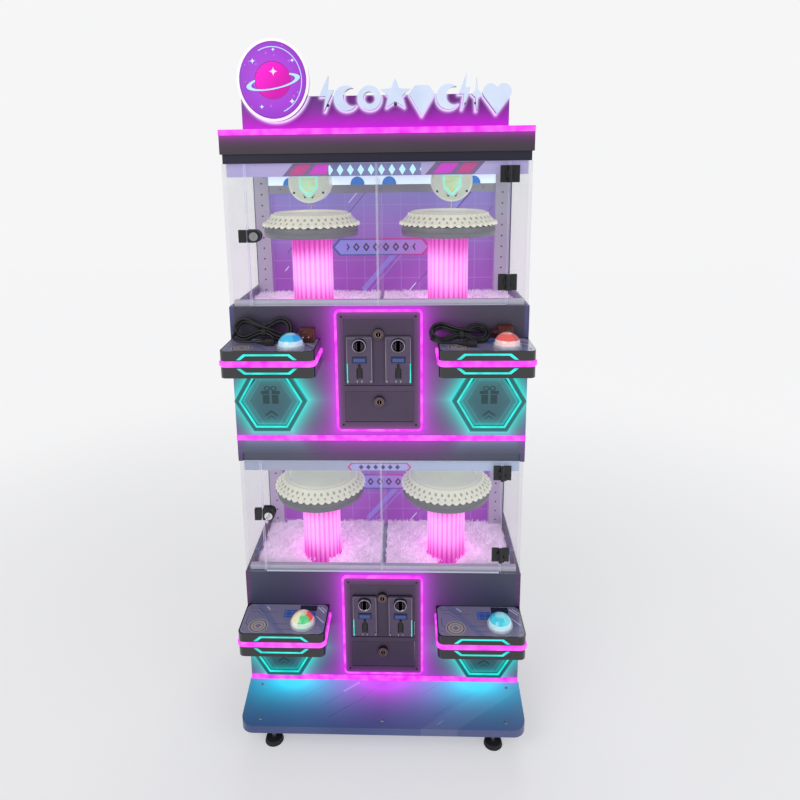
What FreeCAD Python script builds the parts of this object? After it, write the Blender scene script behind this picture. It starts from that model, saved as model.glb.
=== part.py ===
"""Two-tier prize clip machine: four turntables behind hinged clear doors, on a lit cabinet.

Millimetres, +Z up, +Y towards the back.  The pieces are built with Y = 0 on the cabinet's
front plane, and save() moves them so that the origin is the middle of the footprint.
"""
import FreeCAD, Part
import math
import os

from FreeCAD import Vector

# ---------------------------------------------------------------- cabinet, driving sizes
body_width = 780.0
body_depth = 400.0
panel = 12.0                 # side, front and rear board
feet_height = 40.0
lower_cabinet_height = 430.0  # feet to the lower window's sill
lower_window_height = 340.0
middle_height = 432.0        # lower window's head to the upper window's sill
upper_window_height = 365.0
crown_height = 83.0
seat_gap = 0.3               # between a loose piece and what it lies on
shaft_clearance = 0.08       # radial, of each pin and shaft in its bore

# ---------------------------------------------------------------- fascia and light strips
band_height = 23.0           # dark recessed band over each window
band_recess = 5.0
fascia_height = 39.0         # from the band up to the middle strip
strip_height = 14.0
strip_depth = 4.0

# ---------------------------------------------------------------- step at the foot
step_reach = 140.0
step_top = 120.0
step_fall = 30.0
step_front_height = 22.0
step_overhang = 3.0          # past the cabinet's side
step_sheet = 3.0
step_corner = 34.0
tube = 36.0                  # base frame's square tube
tube_wall = 3.0
foot_radius = 26.0
foot_pad_height = 12.0
stud_radius = 6.0
foot_inset = 80.0            # from the side of the cabinet to a foot
front_foot_reach = 92.0      # front feet stand under the step

# ---------------------------------------------------------------- display compartments
glass = 8.0
glass_inset = 3.0            # side glass behind the cabinet's side
corner_return = 54.0         # fixed glass beside the door
door_gap = 4.0
divider = 5.0
deck_drop = 35.0             # deck below the sill
deck_sheet = 3.0
compartment_depth = 318.0
wall_sheet = 3.0
post_width = 42.0
post_depth = 18.0
rail_bottom = 280.0          # over the sill
rail_height = 24.0
light_bar_height = 31.0
rail_depth = 15.0
sill_rail_height = 15.0
sill_rail_depth = 14.0
valance_height = 33.0
valance_sheet = 3.0
mat_thickness = 18.0
mat_gap = 1.0

# ---------------------------------------------------------------- turntables
disc_radius = 136.0
disc_door_gap = 6.0          # between the disc and the door
disc_wall_gap = 4.0          # least room between the disc and the back wall
disc_flat_radius = 100.0
disc_top = 236.0             # over the sill
disc_rise = 38.0
disc_sheet = 4.0
tray_radius = 128.0
tray_height = 28.0
column_radius = 56.0
column_wall = 3.0
column_gap = 5.0             # under the tray
shaft_radius = 6.0
shaft_engagement = 18.0
motor_width = 74.0
motor_depth = 60.0
motor_height = 46.0
motor_can_radius = 20.0
motor_can_height = 34.0

# ---------------------------------------------------------------- clip heads
head_offset = 14.0           # outwards from the turntable's axis
head_radius = 58.0
head_bottom = 256.0          # over the sill
head_top = 335.0
head_length = 95.0
rod_radius = 2.5
rod_tip_radius = 4.5
rod_tip_height = 6.0
rod_tip_gap = 3.0            # over the disc
rod_length = 62.0
rod_setback = 30.0           # from the head's front face
rod_bore_top = 328.0

# ---------------------------------------------------------------- door fittings
hinge_height = 42.0
hinge_leaf = 22.0
hinge_sheet = 3.0
hinge_barrel_radius = 5.5
hinge_pin_radius = 3.0
hinge_axis_reach = 8.0
hinge_from_head = 32.0
hinge_from_sill = 62.0
knuckle_gap = 0.4
lock_level = 185.0
lock_height = 32.0
lock_length = 34.0
lock_depth = 13.0
lock_back = 5.0
lock_barrel_radius = 11.0
lock_barrel_reach = 7.0
keeper_length = 18.0

# ---------------------------------------------------------------- coin panel
plate_half_width = 109.0
plate_drop = 14.0            # plate's top below the sill
plate_height = {"lower": 306.0, "upper": 322.0}
plate_thickness = 6.0
plate_corner = 8.0
plate_margin = 20.0
door_half_width = 91.0
door_split = 15.0            # plate between the two doors
cash_door_height = {"lower": 82.0, "upper": 87.0}
small_door_sheet = 3.0
small_door_gap = 0.6
small_hinge_radius = 3.0
small_pin_radius = 1.5
small_pin_length = 8.0
coin_lock_radius = 14.0
coin_lock_reach = 9.0
coin_lock_drop = 37.0        # below the door's top edge
cash_lock_drop = 27.0
cam_length = 24.0
acceptor_x = 51.0
acceptor_width = 68.0
acceptor_height = 128.0
acceptor_bottom = 5.0        # over the hinge line
acceptor_plate = 6.0
acceptor_body_depth = 80.0
acceptor_body_margin = 6.0
entry_radius = 19.0
entry_reach = 5.0
entry_level = 103.0          # over the acceptor's bottom edge
slot_width = 3.2
slot_height = 27.0
return_width = 38.0
return_height = 17.0
return_level = 64.0
return_depth = 11.0
return_reach = 2.0
return_travel = 3.0
cup_width = 16.0
cup_height = 26.0
cup_level = 27.0
cup_depth = 24.0
neon_width = 6.5
cash_box_depth = 165.0
cash_box_wall = 2.0

# ---------------------------------------------------------------- player consoles
console_drop = {"lower": 102.0, "upper": 85.0}   # console top below the sill
console_width = 236.0
console_reach = 125.0
console_height = 69.0
console_corner = 16.0
console_side_inset = 2.0
console_wall = 4.0
groove_height = 16.0
groove_level = 28.0          # over the console's underside
groove_depth = 4.0
console_strip_reach = 3.5
frame_light_width = 150.0
frame_light_height = 15.0
frame_light_slant = 18.0
frame_light_bar = 5.0
frame_light_depth = 1.5
frame_light_gap = 3.0
button_x = 53.0              # right of the console's middle
button_y = -80.0
bezel_radius = 35.0
bezel_height = 6.0
dome_radius = 31.0
dome_height = 30.0
button_travel = 4.0
stem_radius = 9.0
stem_length = 30.0

# ---------------------------------------------------------------- prize outlets
outlet_side_gap = 2.0        # between the frame's point and the cabinet's side
outlet_gap = {"lower": 8.13, "upper": 16.13}     # over the light strip below
outlet_radius = 98.0
outlet_rim = 20.0
outlet_reach = 13.0
outlet_frame_depth = 8.0
outlet_line_inset = 13.0
outlet_line_width = 5.5
outlet_line_depth = 2.0
outlet_halo_inset = 2.0
outlet_halo_width = 4.5
sleeve_play = 11.0           # round the mouth, for the flap's sides as they swing in and up
sleeve_wall = 2.0
flap_gap = 0.6
flap_sheet = 4.0
flap_pin_radius = 2.0
flap_pin_length = 5.0
flap_axis_drop = 4.0         # hinge line below the flap's top edge
flap_shoulder = 5.0
flap_shoulder_height = 30.0
chute_wall = 2.0
chute_depth = 150.0
chute_side_gap = 2.0         # between the chute and the side board
chute_inset = 3.0            # inner wall, from the sleeve's point
chute_throat_depth = 64.0
chute_throat_front = 25.0
throat_reach = 212.0         # from the outer wall inwards
chute_knee = 105.0           # lower box's top below the deck
chute_knee_fall = 60.0
chute_floor_margin = 6.0

# ---------------------------------------------------------------- header
board_left = 340.0
board_right = 332.0
board_height = 81.0
board_y = 48.0
board_thickness = 12.0
sign_x = -252.0
sign_level = 117.0           # centre over the crown
sign_half_width = 89.0
sign_half_height = 98.0
sign_thickness = 20.0
standoff = 8.0
standoff_radius = 4.0
shape_thickness = 20.0
shape_baseline = 42.0        # over the crown

# ---------------------------------------------------------------- inside and mains leads
unit_width = 160.0
unit_depth = 60.0
unit_height = 90.0
inlet_width = 48.0
inlet_height = 28.0
inlet_depth = 26.0
inlet_level = 110.0
hank_length = 163.0
hank_height = 68.0
hank_waist = 31.0
hank_thickness = 15.0
hank_offset = {"left": -110.0, "right": -143.0}    # left end, from the console's middle
hank_lean = {"left": 58.0, "right": 30.0}        # degrees from the console top
hank_setback = 2.0           # from the front panel
relief_length = 16.0
plug_width = 40.0
plug_depth = 26.0
plug_height = 38.0
plug_setback = {"left": 22.0, "right": 4.0}
plug_pin_radius = 2.2
plug_pin_length = 16.0
plug_pin_spread = 7.0
connector_length = 34.0
connector_width = 24.0
connector_thickness = 17.0
connector_start = 86.0       # from the hank's left end
connector_gap = 3.0          # in front of the hank

# ---------------------------------------------------------------- worked-out levels
half_width = body_width / 2
front_plane = (step_reach - body_depth) / 2
tiers = ("lower", "upper")
sides = {"left": -1.0, "right": 1.0}
sill = {"lower": feet_height + lower_cabinet_height}
head = {"lower": sill["lower"] + lower_window_height}
sill["upper"] = head["lower"] + middle_height
head["upper"] = sill["upper"] + upper_window_height
crown_top = head["upper"] + crown_height
deck = {tier: sill[tier] - deck_drop for tier in tiers}
console_top = {tier: sill[tier] - console_drop[tier] for tier in tiers}
middle_strip = head["lower"] + band_height + fascia_height
outlet_floor = {"lower": step_top + strip_height, "upper": middle_strip + strip_height}
outlet_rise = outlet_radius * math.sqrt(3) / 2
outlet_z = {tier: outlet_floor[tier] + outlet_gap[tier] + outlet_rise for tier in tiers}
outlet_x = half_width - outlet_side_gap - outlet_radius
outlet_hole_radius = outlet_radius - outlet_rim
sleeve_radius = outlet_hole_radius + sleeve_play
glass_x = half_width - glass_inset - glass
inner_x = min(glass_x, half_width - panel)
station_x = glass_x / 2 - divider / 4
turntable_y = glass + disc_door_gap + disc_radius
wall_front = max(compartment_depth, turntable_y + disc_radius + disc_wall_gap)
head_x = station_x + head_offset
plate_top = {tier: sill[tier] - plate_drop for tier in tiers}
plate_bottom = {tier: plate_top[tier] - plate_height[tier] for tier in tiers}
cash_bottom = {tier: plate_bottom[tier] + plate_margin for tier in tiers}
cash_top = {tier: cash_bottom[tier] + cash_door_height[tier] for tier in tiers}
coin_bottom = {tier: cash_top[tier] + door_split for tier in tiers}
coin_top = {tier: plate_top[tier] - plate_margin for tier in tiers}
door_left = -(half_width - glass_inset - corner_return) + door_gap
door_right = half_width - glass_inset - corner_return - door_gap
hinge_x = door_right + door_gap / 2
small_hinge_y = -plate_thickness + small_hinge_radius
chute_bottom = {tier: outlet_z[tier] - outlet_radius + chute_floor_margin for tier in tiers}
chute_top = {tier: deck[tier] - deck_sheet for tier in tiers}
chute_knee_z = {tier: chute_top[tier] - chute_knee for tier in tiers}
chute_shoulder_z = {tier: chute_knee_z[tier] + chute_knee_fall for tier in tiers}
chute_outer_x = inner_x - chute_side_gap
chute_inner_x = outlet_x - sleeve_radius + chute_inset
throat_inner_x = chute_outer_x - throat_reach
throat_rear = chute_throat_front + chute_throat_depth
console_x = half_width - console_side_inset - console_width / 2
hank_left = {name: sign * console_x + hank_offset[name] for name, sign in sides.items()}


# ---------------------------------------------------------------- shape helpers
def block(x0, x1, y0, y1, z0, z1):
    return Part.makeBox(x1 - x0, y1 - y0, z1 - z0, Vector(x0, y0, z0))


def rod(radius, start, direction, length):
    return Part.makeCylinder(radius, length, Vector(*start), Vector(*direction))


def in_xz(u, v, depth):
    return Vector(u, depth, v)


def in_yz(u, v, depth):
    return Vector(depth, u, v)


def in_xy(u, v, depth):
    return Vector(u, v, depth)


def outline(corners, plane, depth):
    """Closed wire through (u, v) or (u, v, radius) corners."""
    starts = []
    ends = []
    edges = []
    count = len(corners)
    for index, corner in enumerate(corners):
        here = Vector(corner[0], corner[1], 0)
        radius = corner[2] if len(corner) > 2 else 0.0
        before = corners[index - 1]
        after = corners[(index + 1) % count]
        back = (Vector(before[0], before[1], 0) - here).normalize()
        ahead = (Vector(after[0], after[1], 0) - here).normalize()
        half = back.getAngle(ahead) / 2
        reach = radius / math.tan(half)
        start = here + back * reach
        end = here + ahead * reach
        starts.append(start)
        ends.append(end)
        if radius > 0:
            inward = (back + ahead).normalize()
            middle = here + inward * (radius / math.sin(half) - radius)
            points = [plane(p.x, p.y, depth) for p in (start, middle, end)]
            edges.append(Part.Arc(*points).toShape())
    for index in range(count):
        start = starts[(index + 1) % count]
        end = ends[index]
        if (start - end).Length > 1e-6:
            edges.append(Part.makeLine(plane(end.x, end.y, depth), plane(start.x, start.y, depth)))
    return Part.Wire(Part.__sortEdges__(edges))


def prism(corners, plane, low, high):
    face = Part.Face(outline(corners, plane, low))
    return face.extrude(plane(0, 0, high) - plane(0, 0, low))


def rectangle(u0, u1, v0, v1, radius=0.0):
    return [(u0, v0, radius), (u1, v0, radius), (u1, v1, radius), (u0, v1, radius)]


def turned(points, x, y):
    """Solid of revolution about the vertical line through (x, y), from (radius, z) points."""
    corners = [Vector(x + r, y, z) for r, z in points]
    face = Part.Face(Part.makePolygon(corners + corners[:1]))
    return face.revolve(Vector(x, y, 0), Vector(0, 0, 1), 360)


def joined(first, *others):
    return first.fuse(list(others)).removeSplitter()


def mirrored(shape):
    return shape.mirror(Vector(0, 0, 0), Vector(1, 0, 0))


def save(node, *shapes):
    solids = [solid for shape in shapes for solid in shape.Solids]
    result = Part.makeCompound(solids) if len(solids) > 1 else solids[0]
    result.translate(Vector(0, front_plane, 0))
    result.exportStep("parts/" + node + ".step")
    low, high = result.BoundBox.YMin, result.BoundBox.YMax
    print(node, len(solids), "valid" if result.isValid() else "INVALID", round(low), round(high))


# ---------------------------------------------------------------- cabinet
def base_frame():
    rear = body_depth - panel
    low = feet_height
    high = feet_height + tube
    bars = []
    for side in sides.values():
        centre = side * (half_width - foot_inset)
        bars.append(block(centre - tube / 2, centre + tube / 2, tube - step_reach, rear, low, high))
        hollow = block(centre - tube / 2 + tube_wall, centre + tube / 2 - tube_wall,
                       tube - step_reach, rear, low + tube_wall, high - tube_wall)
        bars[-1] = bars[-1].cut(hollow)
    for y in (panel, rear - tube):
        bar = block(-inner_x, inner_x, y, y + tube, low, high)
        bar = bar.cut(block(-inner_x, inner_x, y + tube_wall, y + tube - tube_wall,
                            low + tube_wall, high - tube_wall))
        for side in sides.values():
            centre = side * (half_width - foot_inset)
            bar = bar.cut(block(centre - tube / 2, centre + tube / 2, y, y + tube, low, high))
        bars.append(bar)
    return joined(*bars)


def levelling_feet():
    feet = []
    for side in sides.values():
        x = side * (half_width - foot_inset)
        for y in (-front_foot_reach, body_depth / 3, body_depth - panel - tube):
            pad = turned([(0, 0), (foot_radius, 0), (foot_radius - 3, foot_pad_height),
                          (0, foot_pad_height)], x, y)
            stud = rod(stud_radius, (x, y, foot_pad_height), (0, 0, 1), feet_height - foot_pad_height)
            feet.append(joined(pad, stud))
    return feet


def step_profile(inset):
    front = -step_reach + inset
    slope = step_fall / step_reach
    bottom = step_top - step_fall - step_front_height
    back_top = step_top - inset
    front_top = back_top - slope * (step_reach - inset)
    return [(0, bottom), (front, bottom), (front, front_top), (0, back_top)]


def kick_plate():
    reach = half_width + step_overhang
    outer = prism(step_profile(0), in_yz, -reach, reach)
    inner_reach = reach - step_sheet
    inner = prism(step_profile(step_sheet), in_yz, -inner_reach, inner_reach)
    plan = [(-reach, 0), (-reach, -step_reach, step_corner), (reach, -step_reach, step_corner),
            (reach, 0)]
    inner_plan = [(-inner_reach, 0), (-inner_reach, step_sheet - step_reach, step_corner - step_sheet),
                  (inner_reach, step_sheet - step_reach, step_corner - step_sheet), (inner_reach, 0)]
    outer = outer.common(prism(plan, in_xy, 0, step_top))
    inner = inner.common(prism(inner_plan, in_xy, 0, step_top))
    return outer.cut(inner)


def side_panels():
    rear_front = wall_front + wall_sheet + post_depth
    corners = [(0, feet_height), (body_depth - panel, feet_height),
               (body_depth - panel, head["upper"]), (rear_front, head["upper"]),
               (rear_front, sill["upper"]), (0, sill["upper"]), (0, head["lower"]),
               (rear_front, head["lower"]), (rear_front, sill["lower"]), (0, sill["lower"])]
    left = prism(corners, in_yz, -half_width, -half_width + panel)
    return [left, mirrored(left)]


def rear_panel():
    sheet = block(-half_width, half_width, body_depth - panel, body_depth, feet_height, head["upper"])
    z = feet_height + inlet_level
    hole = block(-inlet_width / 2, inlet_width / 2, 0, body_depth, z, z + inlet_height)
    return sheet.cut(hole)


def crown():
    z0 = head["upper"]
    z1 = z0 + band_height
    outer = joined(block(-half_width, half_width, 0, body_depth, z1, crown_top),
                   block(-half_width + band_recess, half_width - band_recess, band_recess,
                         body_depth, z0, z1))
    wall = deck_sheet
    inner = block(-half_width + panel, half_width - panel, panel, body_depth - panel,
                  z0 + wall, crown_top - wall)
    return outer.cut(inner)


def hexagon(radius, top):
    """Hexagon with its points left and right, cut off at a height of top over its middle."""
    rise = radius * math.sqrt(3) / 2
    top = min(rise, top)
    top_half = radius - top / math.sqrt(3)
    return [(-radius / 2, -rise), (radius / 2, -rise), (radius, 0), (top_half, top),
            (-top_half, top), (-radius, 0)]


def outlet_limit(tier):
    """Height over the outlet's middle that the console above leaves free."""
    return console_top[tier] - console_height - 2 - outlet_z[tier]


def outlet_hexagon(tier, radius):
    """Nested hexagons keep their spacing under the console too."""
    return hexagon(radius, outlet_limit(tier) - (outlet_radius - radius))


def placed(corners, x, z):
    return [(u + x, v + z) for u, v in corners]


def front_panels():
    result = []
    for tier in tiers:
        bottom = feet_height + tube if tier == "lower" else head["lower"] + band_height
        sheet = block(-half_width + panel, half_width - panel, 0, panel, bottom, sill[tier])
        hole = block(-door_half_width - 2, door_half_width + 2, -1, panel + 1,
                     cash_bottom[tier] - 2, coin_top[tier] + 2)
        sheet = sheet.cut(hole)
        for side in sides.values():
            corners = outlet_hexagon(tier, sleeve_radius + sleeve_wall)
            cutter = prism(placed(corners, side * outlet_x, outlet_z[tier]), in_xz, -1, panel + 1)
            sheet = sheet.cut(cutter)
        if tier == "upper":
            band = block(-half_width + panel, half_width - panel, band_recess, panel,
                         head["lower"], bottom)
            sheet = joined(sheet, band)
        result.append(sheet)
    return result


def decks():
    result = []
    rear = body_depth - panel
    for tier in tiers:
        sheet = block(-inner_x, inner_x, panel, rear, deck[tier] - deck_sheet, deck[tier])
        for side in sides.values():
            x = side * station_x
            sheet = sheet.cut(rod(shaft_radius + 2, (x, turntable_y, deck[tier] - 10), (0, 0, 1), 20))
            sheet = sheet.cut(throat_hole(side, tier))
        result.append(sheet)
    ceiling = block(-inner_x, inner_x, panel, wall_front, head["lower"],
                    head["lower"] + deck_sheet)
    result.append(ceiling)
    return result


def side_box(side, inner, outer, y0, y1, z0, z1):
    low, high = sorted((side * inner, side * outer))
    return block(low, high, y0, y1, z0, z1)


def throat_hole(side, tier):
    """Square hole of the throat through the deck."""
    return side_box(side, throat_inner_x, chute_outer_x, chute_throat_front, throat_rear,
                    deck[tier] - 20, deck[tier] + 20)


# ---------------------------------------------------------------- display compartments
def fixed_glazing():
    result = []
    for tier in tiers:
        outer = half_width - glass_inset
        rear = wall_front + wall_sheet + post_depth
        corners = [(outer, 0), (outer, rear), (outer - glass, rear), (outer - glass, glass),
                   (outer - corner_return, glass), (outer - corner_return, 0)]
        pane = prism(corners, in_xy, sill[tier], head[tier])
        result += [mirrored(pane), pane]
        front = panel + sill_rail_depth
        result.append(block(-divider / 2, divider / 2, front, wall_front - rail_depth,
                            deck[tier], head[tier] - valance_height))
    return result


def posts_and_rails():
    result = []
    inner = inner_x - post_width
    for tier in tiers:
        wall_y = wall_front
        for side in sides.values():
            result.append(side_box(side, inner, inner_x, wall_y - post_depth, wall_y + wall_sheet,
                                   deck[tier], head[tier]))
        low = sill[tier] + rail_bottom
        result.append(block(-inner, inner, wall_y - rail_depth, wall_y, low, low + rail_height))
        result.append(block(-inner, inner, wall_y - rail_depth, wall_y, low + rail_height,
                            low + rail_height + light_bar_height))
        result.append(block(-inner_x, inner_x, panel, panel + sill_rail_depth,
                            deck[tier], sill[tier] + sill_rail_height))
    return result


def printed_panels():
    result = []
    inner = inner_x - post_width
    for tier in tiers:
        result.append(block(-inner, inner, wall_front, wall_front + wall_sheet,
                            deck[tier], head[tier]))
        result.append(block(-inner_x, inner_x, panel, panel + valance_sheet,
                            head[tier] - valance_height, head[tier]))
    return result


def fur_mats():
    result = []
    for tier in tiers:
        low = deck[tier] + seat_gap
        high = low + mat_thickness
        front = panel + sill_rail_depth + mat_gap
        for side in sides.values():
            mat = side_box(side, divider / 2 + mat_gap, inner_x - mat_gap, front,
                           wall_front - mat_gap, low, high)
            mat = mat.cut(side_box(side, inner_x - post_width - mat_gap, inner_x,
                                   wall_front - post_depth - mat_gap, wall_front, low, high))
            mat = mat.cut(rod(column_radius + mat_gap, (side * station_x, turntable_y, low),
                              (0, 0, 1), mat_thickness))
            mat = mat.cut(side_box(side, throat_inner_x - mat_gap, half_width, 0,
                                   throat_rear + mat_gap, low, high))
            result.append(mat)
    return result


# ---------------------------------------------------------------- turntables and clip heads
def turntable(side, tier):
    x = side * station_x
    y = turntable_y
    top = sill[tier] + disc_top
    low = top - disc_rise
    tray_low = low - tray_height
    disc = turned([(0, top - disc_sheet), (disc_flat_radius - 1, top - disc_sheet),
                   (disc_radius - disc_sheet, low), (disc_radius, low), (disc_radius, low + 4),
                   (disc_flat_radius, top), (0, top)], x, y)
    tray = turned([(0, tray_low), (tray_radius, tray_low), (tray_radius, low),
                   (tray_radius - 6, low), (tray_radius - 6, tray_low + 6), (0, tray_low + 6)], x, y)
    hub = rod(3 * shaft_radius, (x, y, tray_low + 6), (0, 0, 1), top - disc_sheet - tray_low - 6)
    shaft_low = deck[tier] - deck_sheet - shaft_engagement
    shaft = rod(shaft_radius, (x, y, shaft_low), (0, 0, 1), tray_low - shaft_low)
    return [disc, joined(tray, hub, shaft)]


def glow_columns():
    result = []
    for tier in tiers:
        for side in sides.values():
            x = side * station_x
            low = deck[tier]
            high = sill[tier] + disc_top - disc_rise - tray_height - column_gap
            tube_solid = rod(column_radius, (x, turntable_y, low), (0, 0, 1), high - low)
            hollow = rod(column_radius - column_wall, (x, turntable_y, low), (0, 0, 1),
                         high - low - column_wall)
            bore = rod(shaft_radius + shaft_clearance, (x, turntable_y, low), (0, 0, 1), high - low)
            result.append(tube_solid.cut(hollow).cut(bore))
    return result


def gear_motors():
    result = []
    for tier in tiers:
        for side in sides.values():
            x = side * station_x
            top = deck[tier] - deck_sheet
            low = top - motor_height
            box = block(x - motor_width / 2, x + motor_width / 2, turntable_y - motor_depth / 2,
                        turntable_y + motor_depth / 2, low, top)
            can = rod(motor_can_radius, (x, turntable_y, low - motor_can_height), (0, 0, 1),
                      motor_can_height)
            bore = rod(shaft_radius + shaft_clearance, (x, turntable_y, top - shaft_engagement - 1),
                       (0, 0, 1), shaft_engagement + 1)
            result.append(joined(box, can).cut(bore))
    return result


def head_front():
    return wall_front - rail_depth - head_length


def clip_heads():
    result = []
    for tier in tiers:
        for side in sides.values():
            x = side * head_x
            z = sill[tier] + head_bottom + head_radius
            body = rod(head_radius, (x, head_front(), z), (0, 1, 0), head_length)
            body = body.makeChamfer(6, [e for e in body.Edges if abs(e.BoundBox.YMax - head_front()) < 0.1])
            cap = block(x - head_radius, x + head_radius, 0, body_depth,
                        sill[tier] + head_top, z + head_radius + 1)
            body = body.cut(cap)
            bore = rod(rod_radius + shaft_clearance,
                       (x, head_front() + rod_setback, sill[tier] + head_bottom - 5), (0, 0, 1),
                       rod_bore_top - head_bottom + 5)
            result.append(body.cut(bore))
    return result


def clip_rod(side, tier):
    x = side * head_x
    y = head_front() + rod_setback
    low = sill[tier] + disc_top + rod_tip_gap
    tip = rod(rod_tip_radius, (x, y, low), (0, 0, 1), rod_tip_height)
    shank = rod(rod_radius, (x, y, low + rod_tip_height), (0, 0, 1), rod_length - rod_tip_height)
    return [joined(tip, shank)]


# ---------------------------------------------------------------- doors of the compartments
def hinge_levels(tier):
    return (sill[tier] + hinge_from_sill, head[tier] - hinge_from_head)


def glass_door(tier):
    return [block(door_left, door_right, 0, glass, sill[tier] + 2, head[tier] - 2)]


def hinge_leaf_block(x0, x1, low, high):
    return block(x0, x1, -hinge_sheet, 0, low, high)


def hinge_moving_leaf(z):
    third = hinge_height / 3
    low = z - third / 2 + knuckle_gap
    high = z + third / 2 - knuckle_gap
    leaf = hinge_leaf_block(door_right - hinge_leaf, door_right - 2.5, z - hinge_height / 2,
                            z + hinge_height / 2)
    arm = block(door_right - 8, hinge_x, -hinge_axis_reach, -hinge_sheet, low, high)
    barrel = rod(hinge_barrel_radius, (hinge_x, -hinge_axis_reach, low), (0, 0, 1), high - low)
    bore = rod(hinge_pin_radius + shaft_clearance, (hinge_x, -hinge_axis_reach, low), (0, 0, 1),
               high - low)
    joint = block(door_right - 8, door_right - 2.5, -hinge_sheet, 0, low, high)
    return joined(leaf, arm, joint, barrel).cut(bore)


def hinge_fixed_leaf(z):
    third = hinge_height / 3
    start = door_right + door_gap + 2.5
    leaf = hinge_leaf_block(start, start + hinge_leaf - 2.5, z - hinge_height / 2,
                            z + hinge_height / 2)
    result = leaf
    for low, high in ((z - hinge_height / 2, z - third / 2), (z + third / 2, z + hinge_height / 2)):
        arm = block(hinge_x, start + 6, -hinge_axis_reach, -hinge_sheet, low, high)
        barrel = rod(hinge_barrel_radius, (hinge_x, -hinge_axis_reach, low), (0, 0, 1), high - low)
        result = joined(result, arm, barrel)
    pin = rod(hinge_pin_radius, (hinge_x, -hinge_axis_reach, z - hinge_height / 2), (0, 0, 1),
              hinge_height)
    return joined(result, pin)


def lock_centre_x():
    return door_left + lock_length - lock_height / 2


def door_fittings(tier):
    """Moving hinge leaves and the lock's case, clamped over the door's edge."""
    z = sill[tier] + lock_level
    half = lock_height / 2
    right = door_left + lock_length
    corners = [(door_left, z - half), (right, z - half, half - 0.5), (right, z + half, half - 0.5),
               (door_left, z + half)]
    case = prism(corners, in_xz, -lock_depth, 0)
    back = prism(corners, in_xz, glass, glass + lock_back)
    bore = rod(lock_barrel_radius + shaft_clearance, (lock_centre_x(), -lock_depth - 1, z),
               (0, 1, 0), lock_depth - 1)
    result = [case.cut(bore), back]
    result += [hinge_moving_leaf(level) for level in hinge_levels(tier)]
    return result


def glass_brackets():
    """Fixed hinge leaves and the lock keepers, clamped on the fixed glass."""
    result = []
    for tier in tiers:
        result += [hinge_fixed_leaf(level) for level in hinge_levels(tier)]
        z = sill[tier] + lock_level
        right = door_left - door_gap
        result.append(block(right - keeper_length, right, -lock_depth, 0, z - lock_height / 2,
                            z + lock_height / 2))
    return result


def door_lock(tier):
    z = sill[tier] + lock_level
    x = lock_centre_x()
    front = -lock_depth - lock_barrel_reach
    barrel = rod(lock_barrel_radius, (x, front, z), (0, 1, 0), lock_barrel_reach + lock_depth - 2.5)
    slot = block(x - 1, x + 1, front, front + 5, z - 5, z + 5)
    result = [barrel.cut(slot)]
    if tier == "lower":
        blade = block(x - 0.9, x + 0.9, front - 8, front + 4.7, z - 4, z + 4)
        bow = rod(10, (x - 1.2, front - 16, z - 2), (1, 0, 0), 2.4)
        result.append(joined(blade, bow))
    return result


# ---------------------------------------------------------------- coin panel
def coin_frames():
    result = []
    for tier in tiers:
        corners = rectangle(-plate_half_width, plate_half_width, plate_bottom[tier],
                            plate_top[tier], plate_corner)
        plate = prism(corners, in_xz, -plate_thickness, 0)
        for low, high in ((cash_bottom[tier], cash_top[tier]), (coin_bottom[tier], coin_top[tier])):
            plate = plate.cut(block(-door_half_width, door_half_width, -plate_thickness - 1, 1, low, high))
            z = low + small_hinge_radius + small_door_gap
            for side in sides.values():
                start = side * (door_half_width + 1)
                plate = joined(plate, rod(small_pin_radius, (start, small_hinge_y, z), (-side, 0, 0),
                                          small_pin_length + 1))
        rear = panel + cash_box_depth + 6
        floor_low = cash_bottom[tier] - 2
        shelf = block(-door_half_width, door_half_width, -plate_thickness / 2, rear,
                      floor_low, floor_low + 1.7)
        result.append(joined(plate, shelf))
    return result


def small_door(tier, low, high, lock_drop, cutouts):
    """Flat door on pins along its lower edge, with its lock."""
    x = door_half_width - small_door_gap
    z = low + small_hinge_radius + small_door_gap
    top = high - small_door_gap
    front = -plate_thickness
    sheet = block(-x, x, front, front + small_door_sheet, z, top)
    barrel = rod(small_hinge_radius, (-x, small_hinge_y, z), (1, 0, 0), 2 * x)
    door = joined(sheet, barrel)
    bore = small_pin_radius + shaft_clearance
    for side in sides.values():
        hole = rod(bore, (side * (x + 1), small_hinge_y, z), (-side, 0, 0), small_pin_length + 2)
        door = door.cut(hole)
    for cutout in cutouts:
        door = door.cut(cutout)
    lock_z = high - lock_drop
    body = rod(coin_lock_radius - 4, (0, front, lock_z), (0, 1, 0), 22)
    door = door.cut(body)
    knob = rod(coin_lock_radius, (0, front - coin_lock_reach, lock_z), (0, 1, 0), coin_lock_reach)
    keyway = block(-1.2, 1.2, front - coin_lock_reach, front - coin_lock_reach + 4, lock_z - 5, lock_z + 5)
    cam = block(-7, 7, front + 18, front + 21, lock_z - cam_length, lock_z + 5)
    return [door, joined(knob, body, cam).cut(keyway)]


def acceptor_span(tier):
    low = coin_bottom[tier] + small_hinge_radius + small_door_gap + acceptor_bottom
    return low, low + acceptor_height


def acceptor_body(side, tier, margin):
    low, high = acceptor_span(tier)
    x = side * acceptor_x
    half = acceptor_width / 2 - acceptor_body_margin
    return block(x - half - margin, x + half + margin, -plate_thickness, acceptor_body_depth,
                 low + acceptor_body_margin - margin, high - acceptor_body_margin + margin)


def coin_door(tier):
    cutouts = [acceptor_body(side, tier, 0.5) for side in sides.values()]
    return small_door(tier, coin_bottom[tier], coin_top[tier], coin_lock_drop, cutouts)


def cash_door(tier):
    return small_door(tier, cash_bottom[tier], cash_top[tier], cash_lock_drop, [])


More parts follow.
